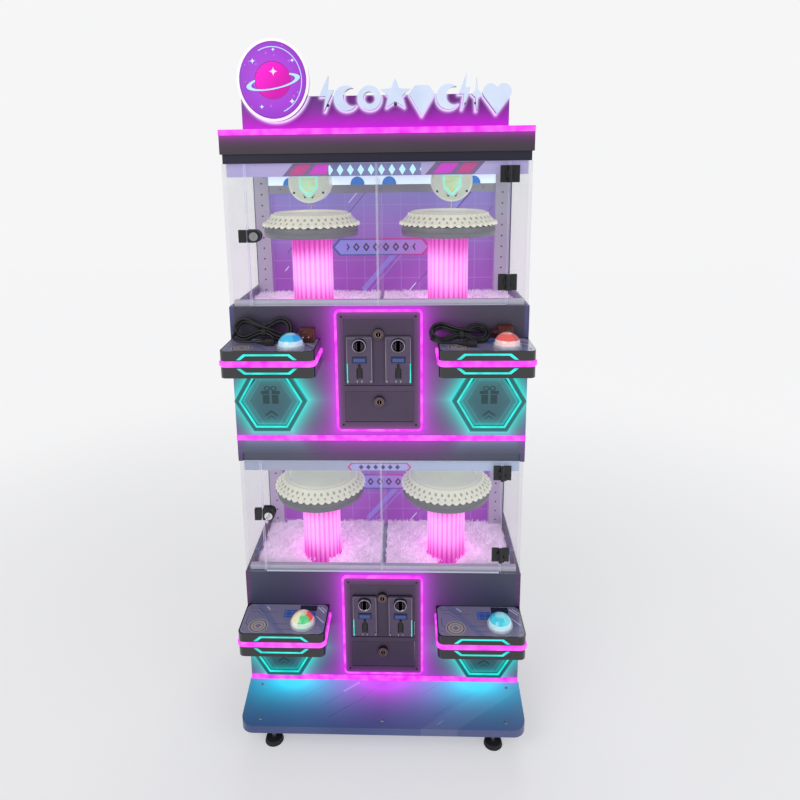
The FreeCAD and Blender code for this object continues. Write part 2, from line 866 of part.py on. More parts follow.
def coin_acceptors(tier):
    result = []
    low, high = acceptor_span(tier)
    front = -plate_thickness - acceptor_plate
    for side in sides.values():
        x = side * acceptor_x
        half = acceptor_width / 2
        plate = prism(rectangle(x - half, x + half, low, high, 4), in_xz, front, -plate_thickness)
        entry = rod(entry_radius, (x, front - entry_reach, low + entry_level), (0, 1, 0), entry_reach)
        unit = joined(plate, acceptor_body(side, tier, 0.0), entry)
        slot = block(x - slot_width / 2, x + slot_width / 2, front - entry_reach - 1, 20,
                     low + entry_level - slot_height / 2, low + entry_level + slot_height / 2)
        button = return_block(side, tier, return_travel + 1, 0.4)
        z = low + cup_level
        cup = block(x - cup_width / 2, x + cup_width / 2, front - 1, front + cup_depth,
                    z - cup_height / 2, z + cup_height / 2)
        result.append(unit.cut(slot).cut(button).cut(cup))
    return result


def return_block(side, tier, extra_depth, margin):
    low = acceptor_span(tier)[0]
    x = side * acceptor_x
    z = low + return_level
    front = -plate_thickness - acceptor_plate - return_reach
    return block(x - return_width / 2 - margin, x + return_width / 2 + margin, front,
                 front + return_depth + extra_depth, z - return_height / 2 - margin,
                 z + return_height / 2 + margin)


def coin_return(side, tier):
    return [return_block(side, tier, 0.0, 0.0)]


def cash_boxes():
    result = []
    for tier in tiers:
        low = cash_bottom[tier] + seat_gap
        high = cash_top[tier] - 14
        x = door_half_width - 8
        y0 = panel + 12
        y1 = y0 + cash_box_depth - 12
        wall = cash_box_wall
        box = block(-x, x, y0, y1, low, high)
        result.append(box.cut(block(-x + wall, x - wall, y0 + wall, y1 - wall, low + wall, high)))
    return result


# ---------------------------------------------------------------- consoles
def console_plan(middle, inset, rear):
    x0 = middle - console_width / 2 + inset
    x1 = middle + console_width / 2 - inset
    front = -console_reach + inset
    corner = max(console_corner - inset, 2.0)
    return [(x0, rear), (x0, front, corner), (x1, front, corner), (x1, rear)]


def consoles():
    result = []
    for tier in tiers:
        top = console_top[tier]
        low = top - console_height
        for side in sides.values():
            middle = side * console_x
            shell = prism(console_plan(middle, 0, 0), in_xy, low, top)
            inner = prism(console_plan(middle, console_wall + groove_depth, 0), in_xy,
                          low + console_wall, top - console_wall)
            groove = prism(console_plan(middle, -5, 0), in_xy, low + groove_level,
                           low + groove_level + groove_height)
            core = prism(console_plan(middle, groove_depth, 0), in_xy, low + groove_level,
                         low + groove_level + groove_height)
            shell = shell.cut(inner).cut(groove.cut(core))
            for level in (-1, 1):
                shell = shell.cut(frame_light(middle, tier, level))
            x = middle + button_x
            shell = shell.cut(rod(stem_radius + seat_gap, (x, button_y, low), (0, 0, 1), console_height))
            bezel = rod(bezel_radius, (x, button_y, top), (0, 0, 1), bezel_height)
            bezel = bezel.cut(rod(dome_radius + seat_gap, (x, button_y, top), (0, 0, 1), bezel_height))
            result += [shell, bezel]
    return result


def console_strip(middle, tier):
    """Light strip in the groove, with a pointed outer edge."""
    low = console_top[tier] - console_height + groove_level
    high = low + groove_height
    whole = prism(console_plan(middle, -console_strip_reach, 0), in_xy, low, high)
    whole = whole.cut(prism(console_plan(middle, groove_depth, 0), in_xy, low, high))
    edges = []
    for edge in whole.Edges:
        box = edge.BoundBox
        flat = abs(box.ZMax - box.ZMin) < 0.01
        rim = box.YMin < -console_reach - console_strip_reach + 0.1
        if flat and rim and box.XMax - box.XMin > console_width / 2:
            edges.append(edge)
    return whole.makeChamfer(console_strip_reach, edges)


def frame_light(middle, tier, level):
    """Half of the lit frame on the console's front: above the strip for 1, below it for -1."""
    low = console_top[tier] - console_height
    if level > 0:
        base = low + groove_level + groove_height + frame_light_gap
    else:
        base = low + groove_level - frame_light_gap
    half = frame_light_width / 2
    bar = frame_light_bar
    rise = level * frame_light_height
    points = [(middle - half, base), (middle - half + frame_light_slant, base + rise),
              (middle + half - frame_light_slant, base + rise), (middle + half, base),
              (middle + half - 2 * bar, base),
              (middle + half - frame_light_slant - bar, base + rise - level * bar),
              (middle - half + frame_light_slant + bar, base + rise - level * bar),
              (middle - half + 2 * bar, base)]
    return prism(points, in_xz, -console_reach, -console_reach + frame_light_depth)


def dome_button(side, tier):
    x = side * console_x + button_x
    low = console_top[tier] + button_travel + 1
    skirt = rod(dome_radius, (x, button_y, low), (0, 0, 1), 8)
    ball_radius = (dome_radius ** 2 + (dome_height - 8) ** 2) / (2 * (dome_height - 8))
    ball = Part.makeSphere(ball_radius, Vector(x, button_y, low + dome_height - ball_radius))
    keep = block(x - 60, x + 60, button_y - 60, button_y + 60, low + 8, low + 60)
    stem = rod(stem_radius, (x, button_y, low - stem_length), (0, 0, 1), stem_length)
    return [joined(skirt, ball.common(keep), stem)]


# ---------------------------------------------------------------- prize outlets
def prize_outlets():
    """Hexagonal frame with its sleeve through the front board, and the chute's sheets behind."""
    result = []
    for tier in tiers:
        for side in sides.values():
            x = side * outlet_x
            z = outlet_z[tier]
            front = -outlet_reach
            ring = prism(placed(outlet_hexagon(tier, outlet_radius), x, z), in_xz, front,
                         front + outlet_frame_depth)
            back = front + outlet_frame_depth
            sleeve = prism(placed(outlet_hexagon(tier, sleeve_radius + sleeve_wall), x, z),
                           in_xz, back, panel)
            sleeve = sleeve.common(block(-inner_x, inner_x, back, body_depth, 0, crown_top))
            mouth = prism(placed(outlet_hexagon(tier, outlet_hole_radius), x, z), in_xz,
                          front - 1, back + 1)
            bore = prism(placed(outlet_hexagon(tier, sleeve_radius), x, z), in_xz, back, panel + 1)
            unit = joined(ring, sleeve).cut(mouth).cut(bore)
            for pin in flap_pins(side, tier, shaft_clearance):
                unit = unit.cut(pin)
            result.append(unit)
            result += chute_sheets(side, tier)
    return result


def chute_sheets(side, tier):
    """Welded sheets: a box behind the flap and a wider throat from it up to the deck."""
    wall = chute_wall
    bottom = chute_bottom[tier]
    knee = chute_knee_z[tier]
    shoulder = chute_shoulder_z[tier]
    top = chute_top[tier]
    low_x, high_x = chute_inner_x, chute_outer_x
    rear = chute_depth

    def sheet(x0, x1, y0, y1, z0, z1):
        return side_box(side, x0, x1, y0, y1, z0, z1)

    def upright(corners, y0, y1):
        return prism([(side * u, v) for u, v in corners], in_xz, y0, y1)

    slope = [(low_x, knee), (low_x + wall, knee), (throat_inner_x + wall, shoulder),
             (throat_inner_x, shoulder)]
    back = [(low_x + wall, knee), (high_x - wall, knee), (high_x - wall, top),
            (throat_inner_x + wall, top), (throat_inner_x + wall, shoulder)]
    return [
        sheet(low_x, high_x, panel, rear, bottom, bottom + wall),
        sheet(high_x - wall, high_x, panel, rear, bottom + wall, knee),
        sheet(low_x, low_x + wall, panel, rear, bottom + wall, knee),
        sheet(low_x + wall, high_x - wall, rear - wall, rear, bottom + wall, knee),
        sheet(low_x + wall, high_x - wall, throat_rear, rear - wall, knee - wall, knee),
        sheet(high_x - wall, high_x, panel, throat_rear, knee, shoulder),
        sheet(high_x - wall, high_x, chute_throat_front, throat_rear, shoulder, top),
        sheet(throat_inner_x, throat_inner_x + wall, chute_throat_front, throat_rear, shoulder, top),
        sheet(throat_inner_x + wall, high_x - wall, chute_throat_front, chute_throat_front + wall,
              shoulder, top),
        sheet(throat_inner_x, high_x, panel, chute_throat_front, shoulder, shoulder + wall),
        upright(slope, panel, throat_rear),
        upright(back, throat_rear - wall, throat_rear),
    ]


def flap_outline(tier):
    """The mouth's hexagon with narrower shoulders, which clear the frame as the flap swings in."""
    corners = outlet_hexagon(tier, outlet_hole_radius - flap_gap)
    top_half, top = corners[3]
    drop = min(flap_shoulder_height, 0.9 * top)
    right = [(top_half + drop / math.sqrt(3), top - drop), (top_half - flap_shoulder, top)]
    left = [(-u, v) for u, v in reversed(right)]
    return corners[:3] + right + left + corners[5:]


def flap_axis_z(tier):
    top = max(v for u, v in flap_outline(tier))
    return outlet_z[tier] + top - flap_axis_drop


def flap_y():
    return -outlet_reach + outlet_frame_depth / 2


def flap_pins(side, tier, clearance):
    z = flap_axis_z(tier)
    rise = z - outlet_z[tier]
    half = outlet_hole_radius - rise / math.sqrt(3)
    result = []
    for end in (-1, 1):
        start = (side * outlet_x + end * (half - 6), flap_y(), z)
        extra = 1.0 if clearance > 0 else 0.0
        result.append(rod(flap_pin_radius + clearance, start, (end, 0, 0), 6 + flap_pin_length + extra))
    return result


def prize_flap(side, tier):
    corners = placed(flap_outline(tier), side * outlet_x, outlet_z[tier])
    y = flap_y()
    sheet = prism(corners, in_xz, y - flap_sheet / 2, y + flap_sheet / 2)
    return [joined(sheet, *flap_pins(side, tier, 0.0))]


# ---------------------------------------------------------------- light pieces
def ring_prism(outer, inner, plane, low, high):
    return prism(outer, plane, low, high).cut(prism(inner, plane, low, high))


def pink_light_strips():
    result = []
    for low in (step_top, middle_strip, crown_top - strip_height):
        result.append(block(-half_width, half_width, -strip_depth, 0, low, low + strip_height))
    for tier in tiers:
        outer = rectangle(-plate_half_width - neon_width, plate_half_width + neon_width,
                          plate_bottom[tier] - neon_width, plate_top[tier] + neon_width,
                          plate_corner + neon_width)
        inner = rectangle(-plate_half_width, plate_half_width, plate_bottom[tier],
                          plate_top[tier], plate_corner)
        result.append(ring_prism(outer, inner, in_xz, -plate_thickness, 0))
        for side in sides.values():
            result.append(console_strip(side * console_x, tier))
    return result


def cyan_light_panels():
    result = []
    for tier in tiers:
        for side in sides.values():
            for level in (-1, 1):
                result.append(frame_light(side * console_x, tier, level))
            x = side * outlet_x
            z = outlet_z[tier]
            front = -outlet_reach
            line_outer = outlet_radius - outlet_line_inset
            line = ring_prism(placed(outlet_hexagon(tier, line_outer), x, z),
                              placed(outlet_hexagon(tier, line_outer - outlet_line_width), x, z),
                              in_xz, front - outlet_line_depth, front)
            halo_outer = outlet_radius - outlet_halo_inset
            halo = ring_prism(placed(outlet_hexagon(tier, halo_outer), x, z),
                              placed(outlet_hexagon(tier, halo_outer - outlet_halo_width), x, z),
                              in_xz, front + outlet_frame_depth, 0)
            result += [line, halo]
    return result


# ---------------------------------------------------------------- header
def header_board():
    return block(-board_left, board_right, board_y, board_y + board_thickness, crown_top,
                 crown_top + board_height)


def star_points(x, z, outer, inner, points, narrowing=1.0):
    result = []
    for index in range(2 * points):
        angle = math.radians(90.0 + index * 180.0 / points)
        radius = outer if index % 2 == 0 else inner
        result.append((x + narrowing * radius * math.cos(angle), z + radius * math.sin(angle)))
    return result


def bolt_points(x, z, half, height):
    return [(x + 0.3 * half, z + height), (x - half, z + 0.42 * height),
            (x - 0.1 * half, z + 0.42 * height), (x - 0.4 * half, z), (x + half, z + 0.6 * height),
            (x + 0.15 * half, z + 0.6 * height)]


def header_shapes():
    """Round sign and nine plain raised shapes on pins."""
    back = board_y - standoff
    front = back - shape_thickness
    base = crown_top + shape_baseline
    small = 30.0
    shapes = []

    def plate_of(points):
        return prism(points, in_xz, front, back)

    def disc_of(x, z, radius):
        return rod(radius, (x, front, z), (0, 1, 0), shape_thickness)

    def crescent(x, z, radius, towards):
        return disc_of(x, z, radius).cut(disc_of(x + towards * 0.5 * radius, z + 2, 0.72 * radius))

    shapes.append((plate_of(bolt_points(-121.0, base, 18.0, 84.0)), -121.0))
    shapes.append((crescent(-73.0, base + small, small, 1.0), -92.0))
    ring_x = -15.0
    ring = disc_of(ring_x, base + small, small - 1).cut(disc_of(ring_x, base + small, small / 2))
    shapes.append((ring, ring_x - 21.0))
    shapes.append((plate_of(star_points(49.0, base + 38.0, 38.0, 17.0, 5)), 49.0))
    gem = [(82.0, base + 38.0), (114.0, base - 14.0), (146.0, base + 38.0), (130.0, base + 58.0),
           (98.0, base + 58.0)]
    shapes.append((plate_of(gem), 114.0))
    shapes.append((crescent(180.0, base + small, small, 1.0), 161.0))
    shapes.append((plate_of(bolt_points(219.0, base, 15.0, 86.0)), 219.0))
    shapes.append((plate_of(star_points(248.5, base + 36.0, 40.0, 13.0, 4, 0.32)), 248.5))
    lobe = 19.0
    heart_x = 298.0
    heart = joined(disc_of(heart_x - 16.0, base + 40.0, lobe), disc_of(heart_x + 16.0, base + 40.0, lobe),
                   plate_of([(heart_x - 32.0, base + 30.0), (heart_x, base - 12.0),
                             (heart_x + 32.0, base + 30.0), (heart_x, base + 46.0)]))
    shapes.append((heart, heart_x))
    result = []
    for shape, pin_x in shapes:
        pin_z = base + 16.0
        pin = rod(standoff_radius, (pin_x, back, pin_z), (0, 1, 0), standoff)
        result.append(joined(shape, pin))
    z = crown_top + sign_level
    ellipse = Part.Ellipse(Vector(sign_x, front, z + sign_half_height),
                           Vector(sign_x + sign_half_width, front, z), Vector(sign_x, front, z))
    sign = Part.Face(Part.Wire(ellipse.toShape())).extrude(Vector(0, sign_thickness, 0))
    pins = [rod(standoff_radius, (sign_x + dx, back, z - 70), (0, 1, 0), standoff) for dx in (-30, 30)]
    result.append(joined(sign, *pins))
    return result


# ---------------------------------------------------------------- inside and leads
def control_unit():
    rear = body_depth - panel
    z = sill["upper"] - middle_height / 2
    unit = block(-unit_width / 2, unit_width / 2, rear - unit_depth, rear, z, z + unit_height)
    low = feet_height + inlet_level
    inlet = block(-inlet_width / 2 + 0.5, inlet_width / 2 - 0.5, body_depth - inlet_depth, body_depth,
                  low + 0.5, low + inlet_height - 0.5)
    flange = block(-inlet_width / 2 - 4, inlet_width / 2 + 4, rear - 2, rear, low - 4,
                   low + inlet_height + 4)
    return [unit, joined(inlet, flange)]


def leaned(shape, name):
    """Lays a flat hank, drawn in X and Z, on the console top and against the front board."""
    shape.rotate(Vector(0, 0, 0), Vector(1, 0, 0), hank_lean[name] - 90.0)
    box = shape.BoundBox
    shape.translate(Vector(hank_left[name] - box.XMin, -hank_setback - box.YMax,
                           console_top["upper"] + seat_gap - box.ZMin))
    return shape


def lead_hank(name):
    """Outer shape of the folded lead: a loop at each end and a tied waist between."""
    half = hank_thickness / 2
    bulge = hank_height / 2
    waist = hank_waist / 2
    middle = hank_length / 2
    loop = hank_height / 2
    bend = loop - 8
    soft = 20.0
    corners = [(0, -bulge, bend), (loop, -bulge, soft), (middle, -waist, soft),
               (hank_length - loop, -bulge, soft), (hank_length, -bulge, bend),
               (hank_length, bulge, bend), (hank_length - loop, bulge, soft),
               (middle, waist, soft), (loop, bulge, soft), (0, bulge, bend)]
    return [leaned(prism(corners, in_xz, -half, half), name)]


def lead_ends():
    """Plug at the right of each hank, and the connector in front of it."""
    result = []
    for name in ("left", "right"):
        hank = lead_hank(name)[0].BoundBox
        z = console_top["upper"] + seat_gap
        x = hank.XMax + relief_length
        y = -plug_setback[name]
        body = block(x, x + plug_width, y - plug_depth, y, z, z + plug_height)
        relief = block(x - relief_length + 1, x, y - plug_depth / 2 - 5, y - plug_depth / 2 + 5,
                       z + plug_height / 2 - 5, z + plug_height / 2 + 5)
        unit = joined(body, relief)
        for dx in (-plug_pin_spread, plug_pin_spread):
            start = (x + plug_width / 2 + dx, y - plug_depth, z + plug_height / 2)
            unit = joined(unit, rod(plug_pin_radius, start, (0, -1, 0), plug_pin_length))
        result.append(unit)
        start = hank.XMin + connector_start
        y = hank.YMin - connector_gap
        result.append(block(start, start + connector_length, y - connector_width, y, z,
                            z + connector_thickness))
    return result


def build():
    os.makedirs("parts", exist_ok=True)
    save("base_frame", base_frame())
    save("levelling_feet", *levelling_feet())
    save("kick_plate", kick_plate())
    save("side_panels", *side_panels())
    save("rear_panel", rear_panel())
    save("crown", crown())
    save("front_panels", *front_panels())
    save("decks", *decks())
    save("fixed_glazing", *fixed_glazing())
    save("posts_and_rails", *posts_and_rails())
    save("printed_panels", *printed_panels())
    save("fur_mats", *fur_mats())
    save("glow_columns", *glow_columns())
    save("gear_motors", *gear_motors())
    save("clip_heads", *clip_heads())
    save("glass_brackets", *glass_brackets())
    save("coin_frames", *coin_frames())
    save("cash_boxes", *cash_boxes())
    save("consoles", *consoles())
    save("prize_outlets", *prize_outlets())
    save("pink_light_strips", *pink_light_strips())
    save("cyan_light_panels", *cyan_light_panels())
    save("header_board", header_board())
    save("header_shapes", *header_shapes())
    save("control_unit", *control_unit())
    save("lead_left", *lead_hank("left"))
    save("lead_right", *lead_hank("right"))
    save("lead_ends", *lead_ends())
    for tier in tiers:
        save(tier + "_glass_door", *glass_door(tier))
        save(tier + "_door_fittings", *door_fittings(tier))
        save(tier + "_door_lock", *door_lock(tier))
        save(tier + "_coin_door", *coin_door(tier))
        save(tier + "_coin_acceptors", *coin_acceptors(tier))
        save(tier + "_cash_door", *cash_door(tier))
        for name, side in sides.items():
            place = tier + "_" + name
            save("turntable_" + place, *turntable(side, tier))
            save("clip_rod_" + place, *clip_rod(side, tier))
            save("dome_button_" + place, *dome_button(side, tier))
            save("prize_flap_" + place, *prize_flap(side, tier))
            save("coin_return_" + place, *coin_return(side, tier))


build()
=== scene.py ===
"""Looks of the two-tier prize clip machine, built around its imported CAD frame. Metres."""
import bpy
import bmesh
import math
import random
from mathutils import Matrix, Vector
from mathutils.bvhtree import BVHTree


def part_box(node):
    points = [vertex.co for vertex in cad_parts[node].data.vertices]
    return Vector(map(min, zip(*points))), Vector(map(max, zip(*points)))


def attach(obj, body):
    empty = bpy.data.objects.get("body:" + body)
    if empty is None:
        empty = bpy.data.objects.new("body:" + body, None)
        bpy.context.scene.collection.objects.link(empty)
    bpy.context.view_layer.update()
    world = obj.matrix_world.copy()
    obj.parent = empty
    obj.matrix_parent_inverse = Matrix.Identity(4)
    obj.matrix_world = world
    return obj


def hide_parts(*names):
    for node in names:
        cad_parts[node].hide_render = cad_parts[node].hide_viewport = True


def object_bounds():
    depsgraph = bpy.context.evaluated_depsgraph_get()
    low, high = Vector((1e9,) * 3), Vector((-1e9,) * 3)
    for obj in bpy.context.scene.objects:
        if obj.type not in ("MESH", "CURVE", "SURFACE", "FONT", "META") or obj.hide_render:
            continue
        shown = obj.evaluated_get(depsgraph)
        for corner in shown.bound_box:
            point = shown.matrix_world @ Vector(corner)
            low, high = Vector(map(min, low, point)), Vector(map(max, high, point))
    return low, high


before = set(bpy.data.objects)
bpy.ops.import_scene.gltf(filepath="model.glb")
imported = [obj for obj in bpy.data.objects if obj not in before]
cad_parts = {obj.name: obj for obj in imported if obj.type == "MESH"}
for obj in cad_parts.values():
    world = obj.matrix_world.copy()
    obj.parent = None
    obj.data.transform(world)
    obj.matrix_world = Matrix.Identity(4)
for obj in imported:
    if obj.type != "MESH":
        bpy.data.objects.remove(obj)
cad_low, cad_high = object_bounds()
random.seed(7)

# ------------------------------------------------------------------ measures read from the CAD
def centre_of(node):
    """Middle of a node's box, seen from above."""
    low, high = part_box(node)
    return (low.x + high.x) / 2, (low.y + high.y) / 2


TIERS = ("lower", "upper")
SIDES = {"left": -1.0, "right": 1.0}
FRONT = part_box("front_panels")[0].y
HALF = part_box("side_panels")[1].x
SILL = {t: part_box(t + "_glass_door")[0].z - 0.002 for t in TIERS}
HEAD = {t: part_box(t + "_glass_door")[1].z + 0.002 for t in TIERS}
CROWN_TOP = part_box("crown")[1].z
STEP_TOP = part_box("kick_plate")[1].z
DOOR = {t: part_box(t + "_coin_door") for t in TIERS}
CASH = {t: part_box(t + "_cash_door") for t in TIERS}
ACCEPTORS = {t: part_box(t + "_coin_acceptors") for t in TIERS}
PLATE_TOP = {t: SILL[t] - 0.014 for t in TIERS}
PLATE_LOW = {"lower": PLATE_TOP["lower"] - 0.306, "upper": PLATE_TOP["upper"] - 0.322}
PLATE_HALF = 0.109
CONSOLE_TOP = {"lower": SILL["lower"] - 0.102, "upper": SILL["upper"] - 0.085}
CONSOLE_X = HALF - 0.002 - 0.118
CONSOLE_HALF = 0.118
CONSOLE_REACH = 0.125
OUTLET_X = HALF - 0.100
OUTLET_Z = {"lower": SILL["lower"] - 0.243, "upper": SILL["upper"] - 0.255}
MID_STRIP = HEAD["lower"] + 0.023 + 0.039 + 0.007
RAIL = {t: SILL[t] + 0.280 for t in TIERS}
DECK = {t: SILL[t] - 0.035 for t in TIERS}
WALL_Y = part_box("printed_panels")[1].y - 0.003
TABLE_X, TABLE_Y = centre_of("turntable_upper_right")
TABLE_TOP = {t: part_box("turntable_" + t + "_left")[1].z for t in TIERS}
HEAD_X = centre_of("clip_rod_upper_right")[0]
HEAD_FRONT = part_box("clip_heads")[0].y
SIGN_X = -0.252
SIGN_Z = CROWN_TOP + 0.117
SIGN_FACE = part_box("header_shapes")[0].y


def places():
    """The four stations: tier, side, direction of the side, name of the place."""
    for tier in TIERS:
        for side, sign in SIDES.items():
            yield tier, side, sign, tier + "_" + side


# ------------------------------------------------------------------ camera at the photo's view
def add_camera():
    yaw, pitch, roll = -0.0358, 0.2028, -0.0125
    right = Vector((math.cos(yaw), -math.sin(yaw), 0.0))
    ahead = Vector((math.sin(yaw) * math.cos(pitch), math.cos(yaw) * math.cos(pitch),
                    -math.sin(pitch)))
    up = right.cross(ahead)
    right_rolled = right * math.cos(roll) + up * math.sin(roll)
    up_rolled = up * math.cos(roll) - right * math.sin(roll)
    data = bpy.data.cameras.new("camera")
    data.sensor_width = 36.0
    data.lens = 29.0
    data.shift_x = 0.017
    data.shift_y = -0.122
    data.clip_end = 50.0
    camera = bpy.data.objects.new("camera", data)
    bpy.context.scene.collection.objects.link(camera)
    place = Matrix((right_rolled, up_rolled, -ahead)).transposed().to_4x4()
    place.translation = Vector((0.080, -1.7616, 1.5879))
    camera.matrix_world = place
    bpy.context.scene.camera = camera
    bpy.context.scene.view_settings.view_transform = "Standard"


add_camera()


# ------------------------------------------------------------------ shader expressions
class Value:
    """A number in a material that varies over the surface; + - * build the nodes."""

    def __init__(self, shade, socket):
        self.shade = shade
        self.socket = socket

    def _do(self, operation, *others):
        return self.shade.math(operation, self, *others)

    def __add__(self, other):
        return self._do("ADD", other)

    def __radd__(self, other):
        return self._do("ADD", other)

    def __sub__(self, other):
        return self._do("SUBTRACT", other)

    def __rsub__(self, other):
        return self.shade.math("SUBTRACT", other, self)

    def __mul__(self, other):
        return self._do("MULTIPLY", other)

    def __rmul__(self, other):
        return self._do("MULTIPLY", other)

    def __abs__(self):
        return self._do("ABSOLUTE")

    def above(self, limit):
        return self._do("GREATER_THAN", limit)

    def below(self, limit):
        return self._do("LESS_THAN", limit)

    def near(self, middle, reach):
        return self._do("COMPARE", middle, reach)

    def between(self, low, high):
        return self.near((low + high) / 2, (high - low) / 2)

    def larger(self, other):
        return self._do("MAXIMUM", other)

    def smaller(self, other):
        return self._do("MINIMUM", other)

    def clamped(self):
        return self.shade.math("ADD", self, 0.0, clamp=True)

    def fade(self, reach):
        """1 where the distance is 0 or less, falling off with the given reach."""
        return (self.larger(0.0) * (-1.0 / reach))._do("EXPONENT")

    def repeat(self, period):
        """Place within each period, from its middle."""
        return ((self * (1 / period))._do("FRACT") - 0.5) * period

    def ramp(self, start, end):
        """0 at start and 1 at end, smooth in between."""
        node = self.shade.node("ShaderNodeMapRange")
        node.interpolation_type = "SMOOTHSTEP"
        self.shade.put(node.inputs[0], self)
        if start < end:
            ends = (start, end, 0.0, 1.0)
        else:
            ends = (end, start, 1.0, 0.0)
        for index, number in enumerate(ends):
            node.inputs[index + 1].default_value = number
        return Value(self.shade, node.outputs[0])


class Shade:
    """A procedural material on the Principled shader. x, y and z are the row frame's."""

    def __init__(self, name, colour=(0.8, 0.8, 0.8), rough=0.5, metal=0.0, slot=None):
        self.material = bpy.data.materials.new(name)
        self.material.use_nodes = True
        self.tree = self.material.node_tree
        self.shader = next(n for n in self.tree.nodes if n.type == "BSDF_PRINCIPLED")
        self.base = colour
        self.slot = slot
        self.set("Base Color", (*colour, 1.0))
        self.set("Roughness", rough)
        self.set("Metallic", metal)
        self.point = self.node("ShaderNodeTexCoord").outputs["Object"]
        split = self.node("ShaderNodeSeparateXYZ")
        self.tree.links.new(self.point, split.inputs[0])
        self.x, self.y, self.z = (Value(self, s) for s in split.outputs)

    def node(self, kind):
        return self.tree.nodes.new(kind)

    def put(self, socket, value):
        if isinstance(value, Value):
            self.tree.links.new(value.socket, socket)
        elif isinstance(value, (tuple, list)) and len(value) == 3 and socket.type == "RGBA":
            socket.default_value = (*value, 1.0)
        else:
            socket.default_value = value

    def set(self, name, value):
        self.put(self.shader.inputs[name], value)
        return self

    def math(self, operation, *values, clamp=False):
        node = self.node("ShaderNodeMath")
        node.operation = operation
        node.use_clamp = clamp
        for socket, value in zip(node.inputs, values):
            self.put(socket, value)
        return Value(self, node.outputs[0])

    def mix(self, amount, first, second):
        node = self.node("ShaderNodeMix")
        node.data_type = "RGBA"
        node.clamp_factor = True
        self.put(node.inputs[0], amount)
        self.put(node.inputs[6], first)
        self.put(node.inputs[7], second)
        return Value(self, node.outputs[2])

    def scaled(self, colour, amount):
        """The colour times a number, for light."""
        node = self.node("ShaderNodeVectorMath")
        node.operation = "SCALE"
        node.inputs[0].default_value = colour
        self.put(node.inputs["Scale"], amount)
        return Value(self, node.outputs[0])

    def total(self, *colours):
        result = colours[0]
        for colour in colours[1:]:
            node = self.node("ShaderNodeVectorMath")
            node.operation = "ADD"
            self.put(node.inputs[0], result)
            self.put(node.inputs[1], colour)
            result = Value(self, node.outputs[0])
        return result

    def stretched(self, stretch):
        node = self.node("ShaderNodeVectorMath")
        node.operation = "MULTIPLY"
        self.tree.links.new(self.point, node.inputs[0])
        node.inputs[1].default_value = stretch
        return node.outputs[0]

    def noise(self, scale, detail=3.0, stretch=None):
        node = self.node("ShaderNodeTexNoise")
        self.tree.links.new(self.stretched(stretch) if stretch else self.point, node.inputs["Vector"])
        node.inputs["Scale"].default_value = scale
        node.inputs["Detail"].default_value = detail
        return Value(self, node.outputs[0])

    def cells(self, scale, stretch=None):
        node = self.node("ShaderNodeTexVoronoi")
        self.tree.links.new(self.stretched(stretch) if stretch else self.point, node.inputs["Vector"])
        node.inputs["Scale"].default_value = scale
        return Value(self, node.outputs["Distance"])

    def normal(self):
        node = self.node("ShaderNodeSeparateXYZ")
        self.tree.links.new(self.node("ShaderNodeTexCoord").outputs["Normal"], node.inputs[0])
        return [Value(self, s) for s in node.outputs]

    def over(self, colour, *layers):
        """Lays (mask, colour) layers over a colour."""
        for mask, upper in layers:
            colour = self.mix(mask, colour, upper)
        return colour

    def paint(self, *layers):
        colour = self.over(self.base, *layers)
        self.set("Base Color", colour)
        return colour

    def relief(self, height, depth, strength=1.0):
        node = self.node("ShaderNodeBump")
        node.inputs["Strength"].default_value = strength
        node.inputs["Distance"].default_value = depth
        self.put(node.inputs["Height"], height)
        self.tree.links.new(node.outputs[0], self.shader.inputs["Normal"])
        return self

    def glow(self, colour, strength=1.0):
        self.set("Emission Color", colour)
        self.set("Emission Strength", strength)
        return self

    def length(self, a, b):
        return (a * a + b * b)._do("SQRT")

    def rise(self, levels, split=1.0):
        """Height above a level that each tier has its own value of."""
        return self.z - (self.z.below(split) * (levels["lower"] - levels["upper"]) + levels["upper"])

    def round_box(self, u, v, middle, half, radius):
        """Distance to a rounded rectangle's edge."""
        du = abs(u - middle[0]) - (half[0] - radius)
        dv = abs(v - middle[1]) - (half[1] - radius)
        return self.length(du.larger(0.0), dv.larger(0.0)) + du.larger(dv).smaller(0.0) - radius

    def hexagon(self, u, v, radius):
        """Distance to the edge of a hexagon with its points left and right."""
        share = math.sqrt(3) / 2
        return abs(v).larger(abs(u) * share + abs(v) * 0.5) - radius * share


PINK = (0.70, 0.01, 0.70)
PINK_CORE = (0.95, 0.12, 0.94)
CYAN = (0.0, 0.62, 0.56)
CYAN_CORE = (0.03, 0.86, 0.78)
MAGENTA_FALL = (0.44, 0.0, 0.55)
CYAN_FALL = (0.0, 0.58, 0.50)


def mirrored_x(shade):
    """Distance of x from the middle, as the machine is symmetric."""
    return abs(shade.x)


def fine_texture(shade, rough, depth=0.00006, scale=900.0, wear=0.10):
    """Small grain in the surface and uneven gloss, on top of any colour."""
    grain = shade.noise(scale, 2.0)
    smudge = shade.noise(9.0, 4.0)
    shade.set("Roughness", (smudge * wear + (rough - wear / 2) + grain * 0.04).clamped())
    shade.relief(grain, depth)


